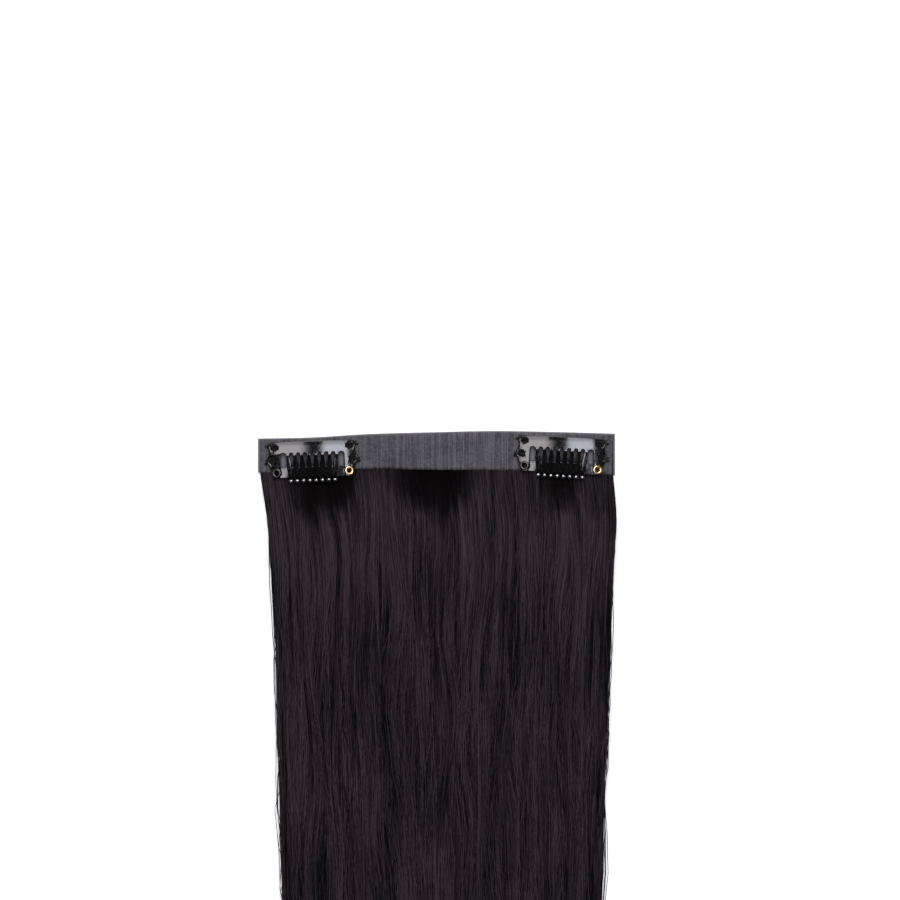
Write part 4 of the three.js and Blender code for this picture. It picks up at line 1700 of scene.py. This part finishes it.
    def _tuft(self, side: int, hole: Hole) -> list[tuple[float, float, float]]:
        """The stitches gathered on the film inside a sewing hole.

        Args:
            side: -1 on the left tab, 1 on the right.
            hole: The sewing hole.

        Returns:
            The thread's points.
        """
        points = []
        for i in range(self.tuft_points):
            angle, out = i * 0.75, 0.1 + 0.03 * i
            points.append((side * (hole.across + out * math.cos(angle)), -hole.down + out * math.sin(angle),
                           self.tuft_height * (1 + abs(math.sin(i * 1.1)))))
        return points

    def _knot(self, side: int, hole: Hole, radius: float, swing: float) -> list[tuple[float, float, float]]:
        """A small knot on the film beside the tab.

        Args:
            side: -1 on the left tab, 1 on the right.
            hole: The sewing hole.
            radius: From the hole to the tab's edge.
            swing: The knot's direction, as an angle.

        Returns:
            The thread's points.
        """
        out = radius + self.knot_out
        points = []
        for i in range(self.knot_points):
            angle = i * 0.62
            ring = self.knot_ring + 0.05 * math.sin(i * 1.3)
            points.append((side * (hole.across + out * math.cos(swing) + ring * math.cos(angle)),
                           -hole.down + out * math.sin(swing) + ring * math.sin(angle),
                           0.2 + self.knot_height * abs(math.sin(i * 0.37))))
        return points

    def build(self, trees: "ClipTrees", finishes: "ClipFinishes") -> None:
        """Makes all the pieces of the clip and hangs them on the frame.

        Args:
            trees: The trees of both clips.
            finishes: Their materials.
        """
        paint = finishes.paint
        seat = self.shank + 2 * self.fit
        holes = [(self.top_hole, self.sewing_hole), (self.middle_hole, self.sewing_hole), (self.eyelet, seat)]
        plate = self.stamped(self.name + "_top_plate", self.plate_outline(), holes, self.plate_surface, 0.0)
        bar = self.stamped(self.name + "_lower_bar", self.bar_outline(), [(self.eyelet, seat)],
                           self.bar_surface, self.bar_height / 2 - self.eyelet.down)
        for piece in (plate, bar):
            piece.data.materials.append(paint)
        finished(plate, Slot.BLACK_PAINT, self.name + "_plate")
        finished(bar, Slot.BLACK_PAINT, self.name + "_bar")
        comb = trees.comb.grow(self.tooth_lines("_comb").build(), paint)
        finished(comb, Slot.BLACK_PAINT, self.name + "_plate")
        balls = trees.balls.grow(self.tooth_lines("_ball_tips").build(), finishes.tips)
        finished(balls, Slot.BLACK_PAINT, self.name + "_plate")
        black = self.rivet(self.name + "_black_rivet", -1, paint)
        finished(black, Slot.BLACK_PAINT, self.name + "_black_eyelet")
        brass = self.rivet(self.name + "_brass_rivet", 1, finishes.brass)
        finished(brass, Slot.BRASS, self.name + "_brass_eyelet")
        finished(self.stitches(trees.stitches, finishes.thread), Slot.THREAD)


@dataclass(frozen=True)
class ClipTrees:
    """The Geometry Nodes trees that both clips share."""

    comb: GrowthTree
    balls: GrowthTree
    stitches: GrowthTree


@dataclass(frozen=True)
class ClipFinishes:
    """The materials that both clips share."""

    paint: bpy.types.Material
    tips: bpy.types.Material
    brass: bpy.types.Material
    thread: bpy.types.Material


# The studio


@dataclass(frozen=True)
class Studio:
    """A pale floor, soft light from two sides, and a camera straight above."""

    centre: tuple[float, float] = (4.05, 0.3)
    frame_width: float = 270.0
    camera_height: float = 3000.0
    sensor: float = 36.0
    light_height: float = 2500.0
    light_depth: float = 760.0
    room_overhead: float = 0.04
    room_round: float = 0.16
    floor_glow: float = 0.3
    floor_half: float = 15000.0
    floor_below: float = 0.02
    strips_back: float = 240.0
    dim_back: float = 500.0
    dim_share: float = 0.65

    def softbox(self, name: str, low: tuple[float, float], high: tuple[float, float], radiance: float,
                tint: Colour) -> None:
        """Hangs one big soft light over the floor, beside the camera's line of sight.

        Args:
            name: The light's name.
            low: The x and y of one corner.
            high: The x and y of the opposite corner.
            radiance: Its brightness.
            tint: Its colour.
        """
        lamp = bpy.data.lights.new(name, "AREA")
        lamp.shape = "RECTANGLE"
        lamp.size = (high[0] - low[0]) * MM
        lamp.size_y = (high[1] - low[1]) * MM
        lamp.energy = radiance * math.pi * lamp.size * lamp.size_y
        lamp.color = tint
        thing = bpy.data.objects.new(name, lamp)
        thing.location = Vector(((low[0] + high[0]) / 2, (low[1] + high[1]) / 2, self.light_height)) * MM
        thing.visible_camera = False
        bpy.context.scene.collection.objects.link(thing)

    def graded(self, name: str, edges: Sequence[float], radiances: Sequence[float], tint: Colour) -> None:
        """Hangs a softbox that dims in strips towards the middle of the room and towards the back.

        Args:
            name: The light's name.
            edges: The x of its outer edge, and of the inner edge of each strip.
            radiances: The brightness of each strip.
            tint: Its colour.
        """
        for strip, radiance in enumerate(radiances):
            low, high = sorted(edges[strip:strip + 2])
            front, back = (low, -self.light_depth / 2), (high, self.strips_back)
            self.softbox(f"{name}_{strip + 1}", front, back, radiance, tint)
        low, high = sorted((edges[0], edges[2]))
        front, back = (low, self.strips_back), (high, self.dim_back)
        self.softbox(f"{name}_dim", front, back, radiances[0] * self.dim_share, tint)

    def floor(self) -> None:
        """Lays the pale floor."""
        half = self.floor_half
        corners = [(x * half, y * half, -self.floor_below) for x, y in ((-1, -1), (1, -1), (1, 1), (-1, 1))]
        mesh = mesh_of("floor", corners, [(0, 1, 2, 3)])
        graph = ShaderGraph("pale_floor")
        clouds = graph.grain((3.0, 3.0, 3.0), 2.0)
        graph.set(Base_Color=graph.blend(clouds, (0.86, 0.86, 0.87), (0.9, 0.9, 0.905)), Roughness=0.85,
                  Specular_IOR_Level=0.2, Emission_Color=(1.0, 1.0, 1.0, 1.0),
                  Emission_Strength=self.floor_glow)
        mesh.materials.append(graph.material)
        link("floor", mesh)

    def room(self) -> bpy.types.World:
        """The pale room round the table, darker straight overhead where the camera hangs.

        Returns:
            The room, as a world.
        """
        world = bpy.data.worlds.new("pale_room")
        world.use_nodes = True
        graph = Graph(world.node_tree)
        direction = graph.add("ShaderNodeTexCoord").outputs["Generated"]
        upward = graph.add("ShaderNodeSeparateXYZ", {0: direction}).outputs["Z"]
        background = graph.tree.nodes["Background"]
        background.inputs["Color"].default_value = (0.98, 0.985, 1.0, 1.0)
        strength = graph.remap(upward, 0.3, 0.75, self.room_round, self.room_overhead)
        graph.tree.links.new(strength, background.inputs["Strength"])
        return world

    def build(self) -> None:
        """Sets up the camera, the floor, the lights and the pale room."""
        lens = bpy.data.cameras.new("camera")
        lens.sensor_width = self.sensor
        lens.lens = self.sensor * self.camera_height / self.frame_width
        lens.clip_end = 100.0
        camera = bpy.data.objects.new("camera", lens)
        camera.location = Vector((*self.centre, self.camera_height)) * MM
        scene = bpy.context.scene
        scene.collection.objects.link(camera)
        scene.camera = camera
        scene.view_settings.view_transform = "Standard"
        warm, cool = (1.0, 0.95, 0.98), (0.86, 0.88, 1.0)
        self.graded("softbox_left", (-1290.0, -410.0, -345.0, -280.0, -215.0, -150.0),
                    (6.2, 5.0, 3.6, 2.2, 1.0), warm)
        self.graded("softbox_right", (1060.0, 300.0, 245.0, 190.0, 140.0), (9.3, 6.6, 3.9, 1.5), cool)
        self.softbox("softbox_back", (-1100.0, 720.0), (1100.0, 2000.0), 8.0, (1.0, 0.98, 1.0))
        scene.world = self.room()
        self.floor()
        LOG.info("studio: camera %.0f mm up, frame %.0f mm wide", self.camera_height, self.frame_width)


def main() -> None:
    """Builds the studio and the extension piece by piece."""
    logging.basicConfig(level=logging.INFO, format="%(message)s")
    Studio().build()
    band = Band()
    clips = (SnapClip("left_clip", band, -1, 0.17, 0.075, 2.1, tab_bend=0.09),
             SnapClip("right_clip", band, 1, 0.14, 0.1, -3.4, bar_floor=0.27, bar_bows=(0.51, 0.1)))
    band.build(FilmFinish(), clips)
    dips = ({"at": -0.655, "half": 0.22, "depth": 1.0}, {"at": -0.01, "half": 0.26, "depth": 1.0},
            {"at": 0.71, "half": 0.14, "depth": 0.85})
    HairFall(band, dips).build(HairFinish())
    trees = ClipTrees(clips[0].comb_tree(), clips[0].ball_tree(), clips[0].stitch_tree())
    tips = PaintFinish(roughness=0.2, coat=1.0, specular=1.0, ior=2.0, name="gloss_black_tips")
    finishes = ClipFinishes(PaintFinish().material(), tips.material(), BrassFinish().material(),
                            ThreadFinish().material())
    for clip in clips:
        clip.build(trees, finishes)


if __name__ == "__main__":
    main()
